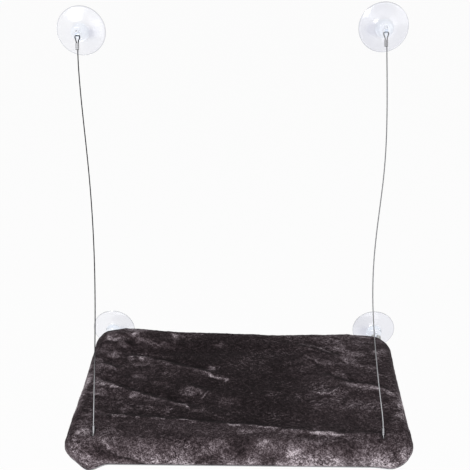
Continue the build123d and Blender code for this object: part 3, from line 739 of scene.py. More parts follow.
def make_camera():
    """The camera at the place and turn that fit the photograph."""
    ahead_flat = Vector((math.sin(CAMERA_YAW), math.cos(CAMERA_YAW), 0))
    right_flat = Vector((math.cos(CAMERA_YAW), -math.sin(CAMERA_YAW), 0))
    above = Vector((0, 0, 1))
    ahead = ahead_flat * math.cos(CAMERA_PITCH) - above * math.sin(CAMERA_PITCH)
    up_level = ahead_flat * math.sin(CAMERA_PITCH) + above * math.cos(CAMERA_PITCH)
    right = right_flat * math.cos(CAMERA_ROLL) + up_level * math.sin(CAMERA_ROLL)
    up = up_level * math.cos(CAMERA_ROLL) - right_flat * math.sin(CAMERA_ROLL)
    bpy.ops.object.camera_add(location=CAMERA_PLACE)
    camera = bpy.context.object
    turn = Matrix((right, up, -ahead)).transposed().to_4x4()
    camera.matrix_world = Matrix.Translation(CAMERA_PLACE) @ turn
    camera.data.sensor_width = SENSOR_WIDTH
    camera.data.lens = FOCAL_PIXELS / IMAGE_PIXELS * SENSOR_WIDTH
    camera.data.clip_start = 0.01
    bpy.context.scene.camera = camera


def seen_white(nodes, shader, light, strength):
    """Mixes white light into a shader for what the camera sees, also through glass."""
    seen = nodes.node("ShaderNodeLightPath", output="Is Camera Ray")
    for ray in ("Is Glossy Ray", "Is Transmission Ray"):
        seen = seen.math("MAXIMUM", seen, nodes.node("ShaderNodeLightPath", output=ray))
    plain = Signal(nodes, shader.outputs[0])
    white = nodes.node(light, inputs={0: (1, 1, 1, 1), 1: 1.0})
    lit = nodes.node("ShaderNodeMixShader", inputs={0: seen * strength, 1: plain, 2: white})
    nodes.tree.links.new(lit.socket, nodes.found("OUTPUT").inputs["Surface"])


def make_stage():
    """A pale floor far below, a white surround and soft studio light."""
    deselect()
    bpy.ops.mesh.primitive_plane_add(size=FLOOR_SIZE, location=FLOOR_PLACE)
    floor = named("floor")
    settle(floor)
    floor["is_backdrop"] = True
    finish = Finish("pale_floor", Roughness=0.9)
    dust = finish.noise(0.8, 2.0)
    finish.feed("Base Color", finish.mix(dust, (0.86, 0.86, 0.86), (0.9, 0.9, 0.9)))
    seen_white(finish, finish.shader, "ShaderNodeEmission", FLOOR_WHITENESS)
    finish.on(floor)

    world = bpy.data.worlds.new("studio")
    bpy.context.scene.world = world
    world.use_nodes = True
    nodes = Nodes(world.node_tree)
    sky = nodes.found("BACKGROUND")
    sky.inputs[0].default_value = (1, 1, 1, 1)
    sky.inputs[1].default_value = SKY_STRENGTH
    seen_white(nodes, sky, "ShaderNodeBackground", 1.0)

    for name, (place, size, power) in LAMPS.items():
        bpy.ops.object.light_add(type="AREA", location=place)
        lamp = bpy.context.object
        lamp.name = name
        lamp.data.size = size
        lamp.data.energy = power
        lamp.rotation_euler = (LAMP_TARGET - Vector(place)).to_track_quat("-Z", "Y").to_euler()


# Cables


def route_line(name, points):
    """The smooth line of a cable's route, as an array of places."""
    curve = bpy.data.curves.new(name, "CURVE")
    curve.dimensions = "3D"
    curve.resolution_u = 24
    spline = curve.splines.new("NURBS")
    spline.points.add(len(points) - 1)
    for knot, place in zip(spline.points, points):
        knot.co = (*place, 1.0)
    spline.order_u = 3
    spline.use_endpoint_u = True
    holder = bpy.data.objects.new(name, curve)
    bpy.context.scene.collection.objects.link(holder)
    bpy.context.view_layer.update()
    smooth = holder.evaluated_get(bpy.context.evaluated_depsgraph_get())
    line = bpy.data.meshes.new_from_object(smooth)
    places = np.array([vertex.co for vertex in line.vertices])
    bpy.data.meshes.remove(line)
    bpy.data.objects.remove(holder)
    bpy.data.curves.remove(curve)
    return places


def evenly(places, step):
    """Places at even steps along a line, with the length that they span."""
    runs = np.linalg.norm(np.diff(places, axis=0), axis=1)
    reached = np.concatenate([[0], np.cumsum(runs)])
    count = max(2, int(round(reached[-1] / step)))
    marks = np.linspace(0, reached[-1], count + 1)
    return np.stack([np.interp(marks, reached, places[:, i]) for i in range(3)], 1), reached[-1]


def twisted_cable(name, places):
    """A tube along places whose section is a ring of twisted strands."""
    ahead = np.gradient(places, axis=0)
    ahead /= np.linalg.norm(ahead, axis=1)[:, None]
    side = np.array([0.0, 0.0, 1.0]) if abs(ahead[0][2]) < 0.9 else np.array([1.0, 0.0, 0.0])
    angles = np.arange(CABLE_RING) * math.tau / CABLE_RING
    step = np.linalg.norm(places[1] - places[0])
    rings, grooves = [], []
    for i, (place, direction) in enumerate(zip(places, ahead)):
        side = side - direction * np.dot(side, direction)
        side /= np.linalg.norm(side)
        other = np.cross(direction, side)
        twist = i * step / CABLE_LAY * math.tau / CABLE_STRANDS
        lobe = np.abs(np.cos((angles - twist) * CABLE_STRANDS / 2))
        reach = CABLE_WIDTH / 2 * (1 - STRAND_RELIEF * (1 - lobe))
        ring = np.cos(angles)[:, None] * side + np.sin(angles)[:, None] * other
        rings.append(place + reach[:, None] * ring)
        grooves.append(lobe)
    shape = bmesh.new()
    rows = [[shape.verts.new(point) for point in ring] for ring in rings]
    for row, following in zip(rows, rows[1:]):
        for i in range(CABLE_RING):
            j = (i + 1) % CABLE_RING
            shape.faces.new((row[i], row[j], following[j], following[i]))
    shape.faces.new(list(reversed(rows[0])))
    shape.faces.new(rows[-1])
    mesh = bpy.data.meshes.new(name)
    shape.to_mesh(mesh)
    shape.free()
    cable = bpy.data.objects.new(name, mesh)
    bpy.context.scene.collection.objects.link(cable)
    choose(cable)
    bpy.ops.object.shade_smooth()
    remember(cable, "groove", np.concatenate(grooves))
    remember(cable, "height", vertices(cable)[:, 2])
    return cable


def make_cables():
    """Both cables, fixed at the window and following the mat at their lower ends."""
    for side, across in CABLE_ACROSS.items():
        points = [(x, y, z) for x, (y, z) in zip(across, CABLE_DOWN)]
        places, length = evenly(route_line(f"route_{side}", points), CABLE_STEP)
        cable = twisted_cable(f"steel_cable_{side}", places)
        cable_finish(f"coated_cable_{side}", CABLE_PAINTED_SHADE[side]).on(cable)
        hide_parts(f"cable_{side}")
        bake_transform(cable)


# Suction cups


def turned(name, section, around):
    """A closed turned form about the Y axis. The section's points are (radius, y)."""
    radius, y = section[0]
    piece = disc(name, around, radius, (0, y, 0), (math.pi / 2, 0, 0))
    edit(piece, "EDGE")
    bpy.ops.mesh.select_all(action="SELECT")
    for (near, from_y), (far, to_y) in zip(section, section[1:]):
        bpy.ops.mesh.extrude_region_move(TRANSFORM_OT_translate={"value": (0, to_y - from_y, 0)})
        share = far / near
        bpy.ops.transform.resize(value=(share, 1, share), center_override=(0, to_y, 0))
    leave()
    return piece


def cup_section():
    """From the hollow's middle out to the rim, over the back and up the hub to its nose."""
    bend = CUP_RIM - 0.25
    points = [(0.6, -CUP_HOLLOW)]
    for share in (0.12, 0.25, 0.4, 0.55, 0.7, 0.82, 0.92):
        points.append((CUP_LAND * share, -CUP_HOLLOW * (1 - share**2.2)))
    points += [(CUP_LAND, -0.02), (bend, 0.0), (CUP_RIM, -0.2)]
    points += [(CUP_RIM, -CUP_EDGE + 0.2), (bend, -CUP_EDGE)]
    for share in (0.12, 0.3, 0.5, 0.7, 0.88):
        back = CUP_BACK * share**CUP_BACK_CURVE
        points.append((bend + (HUB_FOOT - CUP_RIM) * share, -CUP_EDGE - back))
    return [(radius * MM, y * MM) for radius, y in points + HUB_SECTION]


def make_eye_lug():
    """The lug at a cup's nose, with the eye for a hinge pin or a cable."""
    sideways = (0, math.pi / 2, 0)
    lug = disc("lug_form", 48, LUG_RADIUS, (-LUG_THICKNESS / 2, EYE_Y, 0), sideways)
    edit(lug, "VERT")
    pick(lug, lambda co: co.y > EYE_Y - 0.1 * MM, "VERT")
    bpy.ops.transform.translate(value=(0, LUG_ROOT, 0))
    bpy.ops.transform.resize(value=(1, 0.4, 1.3), center_override=(0, EYE_Y + LUG_ROOT, 0))
    bpy.ops.mesh.select_all(action="SELECT")
    bpy.ops.mesh.extrude_region_move(TRANSFORM_OT_translate={"value": (LUG_THICKNESS, 0, 0)})
    leave()
    settle(lug)
    corners = {"limit_method": "ANGLE", "angle_limit": math.radians(60)}
    modify(lug, "BEVEL", width=0.6 * MM, segments=3, **corners)
    deselect()
    bpy.ops.mesh.primitive_cylinder_add(
        vertices=40,
        radius=EYE_RADIUS,
        depth=LUG_THICKNESS * 4,
        location=(0, EYE_Y, 0),
        rotation=sideways,
    )
    drill = named("eye_drill")
    modify(lug, "BOOLEAN", operation="DIFFERENCE", object=drill, solver="EXACT")
    bpy.data.objects.remove(drill)
    return lug


def make_cups():
    """The four cups: a turned skirt and hub with an eye lug."""
    cup = turned("cup_form", cup_section(), 112)
    settle(cup)
    lug = make_eye_lug()
    modify(cup, "BOOLEAN", operation="UNION", object=lug, solver="EXACT")
    bpy.data.objects.remove(lug)
    settle(cup, 40)
    places = vertices(cup)
    remember(cup, "from_axis", np.hypot(places[:, 0], places[:, 2]))
    remember(cup, "depth", -places[:, 1])
    clear_pvc_finish().on(cup)
    for end, painted_cup_grey in CUP_PAINTED_GREY.items():
        node = f"suction_cup_{end}"
        axis_x = middle(node, 0)
        piece = copied(cup, f"clear_cup_{end}", Vector((axis_x, 0, middle(node, 2))))
        # Painted shade: a soft shadow beside the hub on its side toward the middle, greyer toward
        # the middle, and the cup's own painted grey
        inward = places[:, 0] * -math.copysign(1, axis_x)
        spread = np.hypot((inward - 15 * MM) / 1.3, places[:, 2] + 2 * MM)
        veil = bell(spread, 9 * MM) * (inward > 0)
        veil += 0.16 * smooth_step(inward, -25 * MM, 35 * MM) + painted_cup_grey
        remember(piece, "veil", veil)
        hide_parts(node)
        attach(piece, "window_cups")
    bpy.data.objects.remove(cup)


# Mat


def mat_plate(name, shrink=0.0):
    """The mat's plain form: a plate whose edge is a full round roll."""
    half_x = middle("side_tube_right", 0) + ROLL_RADIUS - shrink
    rear_y = middle("rear_tube", 1) + ROLL_RADIUS - shrink
    front_y = middle("front_tube", 1) - ROLL_RADIUS + shrink
    half_z = ROLL_RADIUS - shrink
    deselect()
    bpy.ops.mesh.primitive_cube_add(size=2, location=(0, (rear_y + front_y) / 2, 0))
    plate = named(name)
    plate.scale = (half_x, (rear_y - front_y) / 2, half_z)
    apply_transform()
    edit(plate, "EDGE")
    pick(plate, lambda a, b: abs(a.z - b.z) > half_z, "EDGE")
    bpy.ops.mesh.bevel(offset=BEND_RADIUS + ROLL_RADIUS - shrink, segments=18, affect="EDGES")
    bpy.ops.mesh.select_all(action="DESELECT")
    pick(plate, lambda a, b: abs(a.z - b.z) < half_z / 10, "EDGE")
    bpy.ops.mesh.bevel(offset=half_z * 0.995, segments=14, affect="EDGES")
    leave()
    return settle(plate, 60)


def line_offsets(places, line):
    """How far points lie behind a line, and how far along it, from 0 to 1."""
    line = np.array(line, float) * MM
    runs = np.linalg.norm(np.diff(line, axis=0), axis=1)
    before = np.concatenate([[0], np.cumsum(runs)])
    best = np.full(len(places), np.inf)
    behind = np.zeros(len(places))
    along = np.zeros(len(places))
    flat = places[:, :2]
    for i, run in enumerate(runs):
        direction = (line[i + 1] - line[i]) / run
        offset = flat - line[i]
        reach = offset @ direction
        inside = np.clip(reach, 0, run)
        gap = offset - inside[:, None] * direction
        distance = np.linalg.norm(gap, axis=1)
        side = direction[0] * offset[:, 1] - direction[1] * offset[:, 0]
        nearer = distance < best
        best = np.where(nearer, distance, best)
        behind = np.where(nearer, np.where(side >= 0, distance, -distance), behind)
        along = np.where(nearer, (before[i] + inside) / before[-1], along)
    return behind, along


def brush_stroke(across, down, line, wide):
    """How strongly a tapered stroke covers points, all in millimetres."""
    off, along = line_offsets(np.stack([across, down], 1) * MM, line)
    taper = np.sqrt(smooth_step(along, -0.02, 0.25) * smooth_step(1 - along, -0.02, 0.3))
    return bell(off / MM, wide) * taper


def oval_cover(across, down, middle_across, middle_down, wide, deep, turn):
    """How strongly a turned oval patch covers points, all in millimetres and degrees."""
    cosine, sine = math.cos(math.radians(turn)), math.sin(math.radians(turn))
    right = (across - middle_across) * cosine + (down - middle_down) * sine
    below = (down - middle_down) * cosine - (across - middle_across) * sine
    return np.exp(-((right / wide) ** 2) - (below / deep) ** 2)


def swelling():
    """How a cover of cloth with a little to spare swells on the mat: places and their moves."""
    form = mat_plate("swelling_form", 1 * MM)
    modify(form, "REMESH", mode="VOXEL", voxel_size=SWELL_GRAIN)
    before = vertices(form)
    sewn = form.vertex_groups.new(name="sewn")
    sewn.add(np.flatnonzero(before[:, 2] < SWELL_SEAM).tolist(), 1.0, "REPLACE")
    cloth = form.modifiers.new("cloth", "CLOTH")
    cloth.collision_settings.use_collision = False
    settings = cloth.settings
    settings.quality = 5
    settings.mass = 0.3
    settings.bending_stiffness = 0.3
    settings.use_pressure = True
    settings.uniform_pressure_force = 0.25
    settings.shrink_min = -0.015
    settings.vertex_group_mass = "sewn"
    settings.effector_weights.gravity = 0
    scene = bpy.context.scene
    for frame_number in range(1, SWELL_FRAMES + 1):
        scene.frame_set(frame_number)
    swollen = form.evaluated_get(bpy.context.evaluated_depsgraph_get())
    moves = vertices(swollen) - before
    scene.frame_set(1)
    bpy.data.objects.remove(form)
    reach = np.linalg.norm(moves, axis=1)
    moves *= (np.minimum(reach, SWELL_LIMIT) / np.maximum(reach, 1e-9))[:, None]
    return before, moves


def carried(places, known, moves):
    """Moves known at some places, spread smoothly to others."""
    tree = KDTree(len(known))
    for i, place in enumerate(known):
        tree.insert(place, i)
    tree.balance()
    spread = np.empty((len(places), 3))
    for i, place in enumerate(places):
        near = tree.find_n(place, 10)
        weights = bell(np.array([found[2] for found in near]), SWELL_GRAIN)
        spread[i] = weights @ moves[[found[1] for found in near]] / weights.sum()
    return spread


def drawn_out(places, turn, share):
    """Places turned and squeezed along, so that noise over them is drawn out that way."""
    cosine, sine = math.cos(turn), math.sin(turn)
    along = places[:, 0] * cosine + places[:, 1] * sine
    across = places[:, 1] * cosine - places[:, 0] * sine
    return np.stack([along * share, across, places[:, 2]], 1)


def corner_sag(x, y):
    """How far the mat's front corners hang down and bulge out, all in millimetres."""
    left = smooth_step(-x, 206, 241) * (1 - smooth_step(-x, 236, 264)) * smooth_step(-y, 295, 350)
    right = smooth_step(x, 212, 248) * (1 - smooth_step(x, 244, 278)) * smooth_step(-y, 310, 352)
    return 11.0 * left + 3.4 * right, 3.0 * left


def pressed_by_cups(places):
    """The plush pressed in where the pane and the rear cups meet it once the mat is folded up."""
    cosine, sine = math.cos(FOLD_LIMIT), math.sin(FOLD_LIMIT)
    for side in ("left", "right"):
        hinge_y = middle(f"hinge_pin_{side}", 1)
        across = places[:, 0] - middle(f"suction_cup_rear_{side}", 0)
        away = places[:, 1] - hinge_y
        folded_y = hinge_y + away * cosine + places[:, 2] * sine
        folded_z = places[:, 2] * cosine - away * sine
        spread = np.hypot(across, folded_z) / MM
        inward = np.clip((CUP_RIM - spread) / (CUP_RIM - HUB_FOOT), 0, 1)
        skirt = RIM_REACH + CUP_BACK * inward**CUP_BACK_CURVE
        reach = np.where(spread > HUB_SPREAD, skirt, HUB_REACH)
        reach = np.where(spread > RIM_SPREAD, PANE_REACH, reach) * MM
        press = np.maximum(0, folded_y + reach)
        places[:, 1] -= press * cosine
        places[:, 2] -= press * sine
    return places


class Plush:
    """The plush's points, and what its folds, its brushing and its painted highlights, sheen and
    shade do at each, in millimetres.
    """

    def __init__(self, mat):
        self.places = vertices(mat)
        self.facing = vertices(mat, "normal")
        self.x, self.y, self.z = (self.places[:, i] / MM for i in range(3))
        self.top = smooth_step(self.facing[:, 2], -0.15, 0.55)
        self.streaks = self.rough(22, 3.0, 2) * 0.5 + 0.5
        self.rise, self.brushed, self.hollow, self.crest_shadow_line = np.zeros((4, len(self.places)))

    def rough(self, wavelength, seed, detail=1):
        """Even noise over the points, with a feature size in millimetres."""
        return rough(self.places, wavelength * MM, seed, detail)

    def lighten_pile(self, strength):
        """Makes the pile at least this light, for pile raised by brushing and for painted
        highlights and sheen.
        """
        self.brushed = np.maximum(self.brushed, strength)

    def brush_patches(self, across, down, patches, share):
        """Lightens the pile in turned ovals, for pile raised by brushing and for painted highlights
        and sheen.
        """
        for *oval, strength in patches:
            patch = oval_cover(across, down, *oval) * share
            self.lighten_pile(strength * patch * (0.6 + 0.5 * self.streaks))

    def paint_highlight_strokes(self, across, down, strokes, share):
        """Paints highlight strokes on the pile."""
        for line, wide, strength in strokes:
            self.lighten_pile(strength * brush_stroke(across, down, line, wide) * share)

    def fold(self):
        """The folds, each with a painted highlight on its crest, a hollow behind it with painted
        shade, and a painted shadow line between.
        """
        for line, height, rear_reach, front_reach in FOLDS:
            behind, along = line_offsets(self.places, line)
            behind = behind / MM + self.rough(46, len(line) * 1.7) * 1.8
            ends = smooth_step(along, 0.0, 0.22) * smooth_step(1 - along, 0.0, 0.28)
            full = min(1.0, height / 5)
            fall = np.exp(-np.abs(behind / front_reach) ** 1.25)
            fall = np.where(behind > 0, bell(behind, rear_reach), fall)
            self.rise += height * ends * fall
            self.rise -= 0.45 * height * ends * bell(behind - rear_reach * 1.7, rear_reach)
            # Painted highlight along the crest
            crest = 0.4 * bell(behind + 2.0, 3.0) + 0.26 * bell(behind + 9, 11)
            self.lighten_pile(crest * ends * (0.1 + 0.9 * self.streaks) * full)
            # Painted shade in the hollow behind the crest, and a painted shadow line just behind
            # the crest
            valley_shade = bell(behind - rear_reach * 1.1, rear_reach)
            self.hollow = np.maximum(self.hollow, valley_shade * ends * full)
            self.crest_shadow_line = np.maximum(self.crest_shadow_line, bell(behind - 3.5, 2.6) * ends * full)

    def crease(self):
        """The crease behind the front roll, its lip with a painted highlight, the painted shade
        just behind it, and the sag of the top behind it.
        """
        behind = line_offsets(self.places, FRONT_CREASE)[0] / MM + self.rough(50, 8.0) * 1.5
        beside = np.abs(self.x)
        inside = smooth_step(behind, -1.0, 9.0) * smooth_step(230 - beside, -25, 25)
        sag = smooth_step(behind, 0, 60) * smooth_step(265 - beside, 0, 90)
        sag *= smooth_step(-self.y, 50, 120)
        self.rise -= 3.0 * inside * (1 - smooth_step(behind, 25, 80)) + 4.5 * sag
        self.rise += 1.8 * bell(behind, 7.0) * smooth_step(245 - beside, -20, 20)
        # Painted highlight along the lip
        lip = bell(behind + 3.5, 4.0) * smooth_step(245 - beside, -10, 25)
        self.lighten_pile(0.35 * lip * self.streaks)
        # Painted shade just behind the crease
        foot_shade = bell(behind - 6, 7) * smooth_step(240 - beside, -10, 25)
        self.hollow = np.maximum(self.hollow, foot_shade)
        self.before_crease = smooth_step(-behind, -4, 3)

    def shape(self, swell):
        """How each point moves, by the swell, the folds, waves, hanging corners and slits."""
        edge_x, edge_rise = np.array(REAR_EDGE_RISE, float).T
        rear = smooth_step(self.y, -118, -68)
        rise = self.rise + np.interp(self.x, edge_x, edge_rise) * rear
        rise += 2.2 * self.rough(95, 1.0) + 1.2 * self.rough(38, 2.0, 2)
        wobble = self.rough(60, 5.0, 2)
        front = smooth_step(-self.facing[:, 1], 0.15, 0.8) * smooth_step(-self.y, 320, 345)
        lower = smooth_step(-self.facing[:, 2], -0.5, 0.6)
        droop, push = corner_sag(self.x, self.y)
        slack = 1 - rear * (0.5 + 0.45 * smooth_step(self.x, 195, 240))
        self.shift = swell / MM * SWELL_SHARES * slack[:, None]
        self.shift[:, 2] += rise * self.top - droop * lower * (1 - 0.35 * self.top)
        self.shift[:, 1] -= push * lower + 0.6 * wobble * front
        self.shift[:, 0] += 1.2 * wobble * self.facing[:, 0] * (1 - self.top)
        for x, y, wide, long, depth in CABLE_SLITS:
            pinch = np.exp(-(((self.x - x) / wide) ** 2 + ((self.y - y) / long) ** 2)) * self.top
            self.shift[:, 2] -= depth * pinch
            self.brushed *= 1 - 0.8 * pinch

    def brush_top(self):
        """Lightens the top in patches, for pile raised by brushing and for painted highlights,
        darkens its valleys with painted shade and adds painted highlight strokes, all with torn
        outlines.
        """
        self.torn_x = self.x + self.rough(16, 41.0, 3) * 9
        self.torn_y = self.y + self.rough(16, 47.0, 3) * 9
        self.brush_patches(self.torn_x, self.torn_y, TOP_PATCHES, 0.35 + 0.65 * self.top)
        self.drawn_x = self.torn_x * 0.25 + self.x * 0.75
        drawn_y = self.torn_y * 0.25 + self.y * 0.75
        raised = smooth_step(self.z, 5, 12)
        # Painted shade along the valleys
        self.valley_unshaded = np.ones(len(self.places))
        for line, wide, strength in TOP_VALLEY_SHADE:
            self.valley_unshaded *= 1 - strength * brush_stroke(self.drawn_x, drawn_y, line, wide) * raised
        self.brushed *= self.valley_unshaded
        self.paint_highlight_strokes(self.drawn_x, drawn_y, TOP_STROKES + LIP_STROKES, raised)

    def brush_front(self):
        """Lightens and creases the front, as if unrolled from the front roll's top line: painted
        sheen growing toward the bottom, lighter patches, darker spots, painted highlight strokes
        and creases with painted shade.
        """
        ahead = -self.y - FRONT_AXIS
        unrolled = np.where(ahead > 0, ROLL_RADIUS / MM * np.arctan2(ahead, self.z), ahead)
        torn_down = unrolled + self.rough(14, 53.0, 3) * 5
        drawn_down = torn_down * 0.25 + unrolled * 0.75
        on_front = smooth_step(unrolled, -34, -20) * smooth_step(self.z, -24, -16)
        # Painted sheen on the front, lighter further down
        lower_sheen = smooth_step(unrolled, 8, 50)
        front_sheen = 0.15 + (0.1 + 0.33 * lower_sheen) * (0.4 + self.streaks)
        front_sheen += 0.07 * smooth_step(self.x, 20, 120)
        self.lighten_pile(on_front * front_sheen * self.before_crease)
        self.brush_patches(self.torn_x, torn_down, FRONT_PATCHES, on_front)
        for *oval, strength in FRONT_HOLLOWS:
            self.brushed *= 1 - strength * oval_cover(self.torn_x, torn_down, *oval) * on_front
        self.paint_highlight_strokes(self.drawn_x, drawn_down, FRONT_STROKES, on_front)
        for line, wide, depth in FRONT_CREASES:
            crease_groove = brush_stroke(self.drawn_x, drawn_down, line, wide) * on_front
            swollen = brush_stroke(self.drawn_x, drawn_down + 2.6 * wide, line, wide * 1.8)
            swollen *= on_front
            self.shift += self.facing * (swollen * 0.8 - crease_groove)[:, None] * depth
            # Painted shade in the crease
            self.brushed *= 1 - 0.85 * crease_groove
        self.off_front = 1 - on_front

    def brush_sides(self):
        """Paints sheen on the side edges and rolls, lightens the left and right of the top and
        paints a highlight along the rear, and ruffles the left and right of the top.
        """
        # Painted sheen on the side edges
        edges = smooth_step(np.abs(self.facing[:, 0]), 0.45, 0.9) * (0.2 + 0.4 * self.streaks)
        self.lighten_pile(edges * self.off_front)
        sides = 0.16 * smooth_step(-self.x, 100, 220) + 0.24 * smooth_step(self.x, 50, 170)
        # Painted highlight along the rear roll
        sides += 0.16 * smooth_step(self.y, -95, -55)
        sides *= 0.3 + 0.9 * self.streaks
        self.lighten_pile(sides * self.valley_unshaded)
        slanting = drawn_out(self.places, math.radians(-24), 0.45)
        ruffles = smooth_step(rough(slanting, 15 * MM, 61.0, 2), 0.0, 0.4)
        right = 0.4 * smooth_step(self.x, 60, 170)
        right *= 0.35 + 0.65 * smooth_step(self.y, -235, -165)
        ruffles *= (right + 0.38 * smooth_step(-self.x, 60, 190)) * self.top * self.off_front
        self.lighten_pile(ruffles * self.valley_unshaded)
        # Painted sheen in strips along the side rolls
        ahead = -self.torn_y
        left = smooth_step(ahead, 100, 190) * (1 - smooth_step(ahead, 250, 325)) * (self.x < 0)
        right = smooth_step(ahead, 165, 240) * (1 - smooth_step(ahead, 285, 345)) * (self.x > 0)
        side_sheen_strips = (left + right) * smooth_step(np.abs(self.torn_x), 252, 280)
        side_sheen_strips *= smooth_step(self.z, -18, 14)
        self.lighten_pile(side_sheen_strips * (0.45 + 0.6 * self.streaks))

    def put_on(self, mat):
        """Gives the mat its new shape with its pile's clumps, and the pile's lightness from
        brushing, painted highlights and sheen, and painted shade.
        """
        brushed = np.clip(self.brushed, 0, 1)
        # Painted shade in the hollows behind the folds and the crease, and along the shadow line
        # behind each crest
        brushed -= (0.12 * self.hollow + 0.24 * self.crest_shadow_line) * (1 - brushed)
        clumps = 0.55 * self.rough(8, 21.0, 2) + 0.4 * self.rough(4.2, 31.0)
        pile = clumps * (0.7 + 0.6 * brushed)
        self.places += (self.shift + self.facing * pile[:, None]) * MM
        move_to(mat, pressed_by_cups(self.places))
        remember(mat, "brushed", brushed)


def make_mat():
    """The plush cover, with the folds and swell of cloth."""
    cover = mat_plate("plush_mat")
    modify(cover, "REMESH", mode="VOXEL", voxel_size=MAT_GRAIN, use_smooth_shade=True)
    swell = np.zeros((len(cover.data.vertices), 3))
    swell = carried(vertices(cover), *swelling())
    plush = Plush(cover)
    plush.fold()
    plush.crease()
    plush.shape(swell)
    plush.brush_top()
    plush.brush_front()
    plush.brush_sides()
    plush.put_on(cover)
    choose(cover)
    bpy.ops.object.shade_smooth()
    plush_finish().on(cover)
    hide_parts("plush_cover")
    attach(cover, "mat")


def make_wadding():
    """The wadding in the cover: a soft block, a little thinner toward its edges."""
    low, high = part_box("wadding_pad")
    wadding = mat_plate("wadding_block", ROLL_RADIUS * 0.2)
    places = vertices(wadding)
    reach = (places.max(0) - places.min(0)) / 2
    places = (places - (places.max(0) + places.min(0)) / 2) / reach
    places[:, 2:] *= 1 - 0.12 * (places[:, :1] ** 2 + places[:, 1:2] ** 2)
    places = places * np.array((high - low) / 2) * 0.985 + np.array((low + high) / 2)
    move_to(wadding, places)
    modify(wadding, "SUBSURF", levels=1, render_levels=1)
    wadding_finish().on(wadding)
    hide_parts("wadding_pad")
    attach(wadding, "mat")


def make_base_cloth():
    """The grey cloth under the mat, turned up at its edge, with a slot for the zipper."""
    low_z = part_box("base_panel")[0].z
    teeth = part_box("zipper_teeth")
    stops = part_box("zipper_stops")
    cloth = mat_plate("base_cloth", (low_z + ROLL_RADIUS) * 0.55)
    places = vertices(cloth)
    places[:, 2] *= low_z / places[:, 2].min()
    move_to(cloth, places)
    edit(cloth)
    cut((0, 0, CLOTH_SEAM), (0, 0, 1), clear_outer=True)
    for across in CORNER_CUTS_ACROSS:
        for side in (-1, 1):
            cut((side * across * MM, 0, 0), (1, 0, 0))
    for back in CORNER_CUTS_BACK:
        cut((0, -back * MM, 0), (0, 1, 0))
    for x in (stops[0].x - SLOT_END_GAP, stops[1].x + SLOT_END_GAP):
        cut((x, 0, 0), (1, 0, 0))
    for y in (teeth[0].y - SLOT_SIDE_GAP, teeth[1].y + SLOT_SIDE_GAP):
        cut((0, y, 0), (0, 1, 0))
    bpy.ops.mesh.select_all(action="DESELECT")
    pick(cloth, lambda co: stops[0].x < co.x < stops[1].x and teeth[0].y < co.y < teeth[1].y)
    bpy.ops.mesh.delete(type="FACE")
    leave()
    settle(cloth, 60)
    places = vertices(cloth)
    droop, push = corner_sag(places[:, 0] / MM, places[:, 1] / MM)
    places[:, 2] -= droop * MM
    places[:, 1] -= push * MM
    move_to(cloth, places)
    modify(cloth, "SOLIDIFY", thickness=CLOTH_THICKNESS, offset=-1)
    base_cloth_finish().on(cloth)
    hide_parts("base_panel")
    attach(cloth, "mat")
    places = vertices(cloth)
    width, depth = (places.max(0) - places.min(0))[:2]
    flat = (width + CLOTH_TURN_UP, depth + CLOTH_TURN_UP)


# Zipper and hardware


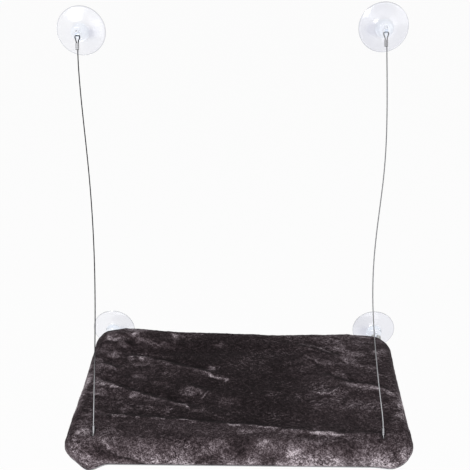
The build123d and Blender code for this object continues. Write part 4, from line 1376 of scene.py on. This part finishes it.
def make_zipper_tape():
    """The two woven tapes, with their outer edges slightly rippled where they are sewn."""
    low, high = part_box("zipper_tape")
    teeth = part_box("zipper_teeth")
    pieces = []
    for near, far in ((teeth[1].y, high.y), (teeth[0].y, low.y)):
        deselect()
        bpy.ops.mesh.primitive_grid_add(x_subdivisions=160, y_subdivisions=8, size=2)
        strip = named("tape_strip")
        strip.scale = ((high.x - low.x) / 2, abs(far - near) / 2, 1)
        strip.location = (0, (near + far) / 2, (low.z + high.z) / 2)
        apply_transform()
        places = vertices(strip)
        ripple = np.sin(places[:, 0] * math.tau / RIPPLE_PITCH)
        ripple *= np.abs(places[:, 1] - near)
        places[:, 2] += RIPPLE_HEIGHT * (ripple / abs(far - near))
        move_to(strip, places)
        pieces.append(strip)
    choose(pieces[0])
    pieces[1].select_set(True)
    bpy.ops.object.join()
    tape = named("zipper_tapes")
    settle(tape)
    modify(tape, "SOLIDIFY", thickness=(high.z - low.z) * 0.8, offset=0)
    tape_finish().on(tape)
    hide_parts("zipper_tape")
    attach(tape, "mat")


def finish_hardware():
    """Finishes for the CAD nodes that show as they are."""
    pale, grey = (0.62, 0.62, 0.60), (0.54, 0.54, 0.52)
    tubes = plastic_finish("tube_plastic", pale, grey, 0.9 * MM, 0.4)
    pale, grey = (0.60, 0.60, 0.58), (0.5, 0.5, 0.49)
    fittings = plastic_finish("fitting_plastic", pale, grey, 1.4 * MM, 0.35)
    pale, grey = (0.62, 0.62, 0.63), (0.4, 0.4, 0.41)
    steel = metal_finish("pin_steel", pale, grey, 1.5 * MM, 0.22)
    pale, grey = (0.33, 0.33, 0.34), (0.15, 0.15, 0.16)
    sleeve = metal_finish("ferrule_aluminium", pale, grey, 1.2 * MM, 0.4)
    pale, grey = (0.03, 0.03, 0.03), (0.015, 0.015, 0.015)
    teeth = plastic_finish("zipper_teeth_plastic", pale, grey, 0.8 * MM, 0.25)
    pale, grey = (0.6, 0.6, 0.61), (0.35, 0.35, 0.36)
    plated = metal_finish("zipper_plating", pale, grey, 1.0 * MM, 0.15)
    nodes = frame["nodes"]
    for side in ("left", "right"):
        tubes.on(nodes[f"side_tube_{side}"])
        fittings.on(nodes[f"hinge_pin_cap_{side}"])
        steel.on(nodes[f"hinge_pin_{side}"])
        sleeve.on(nodes[f"upper_ferrule_{side}"], nodes[f"lower_ferrule_{side}"])
        for end in ("front", "rear"):
            tubes.on(nodes[f"{end}_tube"])
            fittings.on(nodes[f"elbow_{end}_{side}"])
    teeth.on(nodes["zipper_teeth"])
    plated.on(nodes["zipper_stops"], nodes["zipper_slider"], nodes["zipper_pull"])


bpy.context.scene.view_settings.view_transform = "Standard"
make_camera()
make_cables()
make_stage()
make_cups()
make_mat()
make_wadding()
make_base_cloth()
make_zipper_tape()
finish_hardware()
deselect()


def plain(box):
    """A box as plain lists of numbers."""
    return [[float(number) for number in corner] for corner in box]


{"cad": plain(cad_box), "visual": plain(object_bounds())}
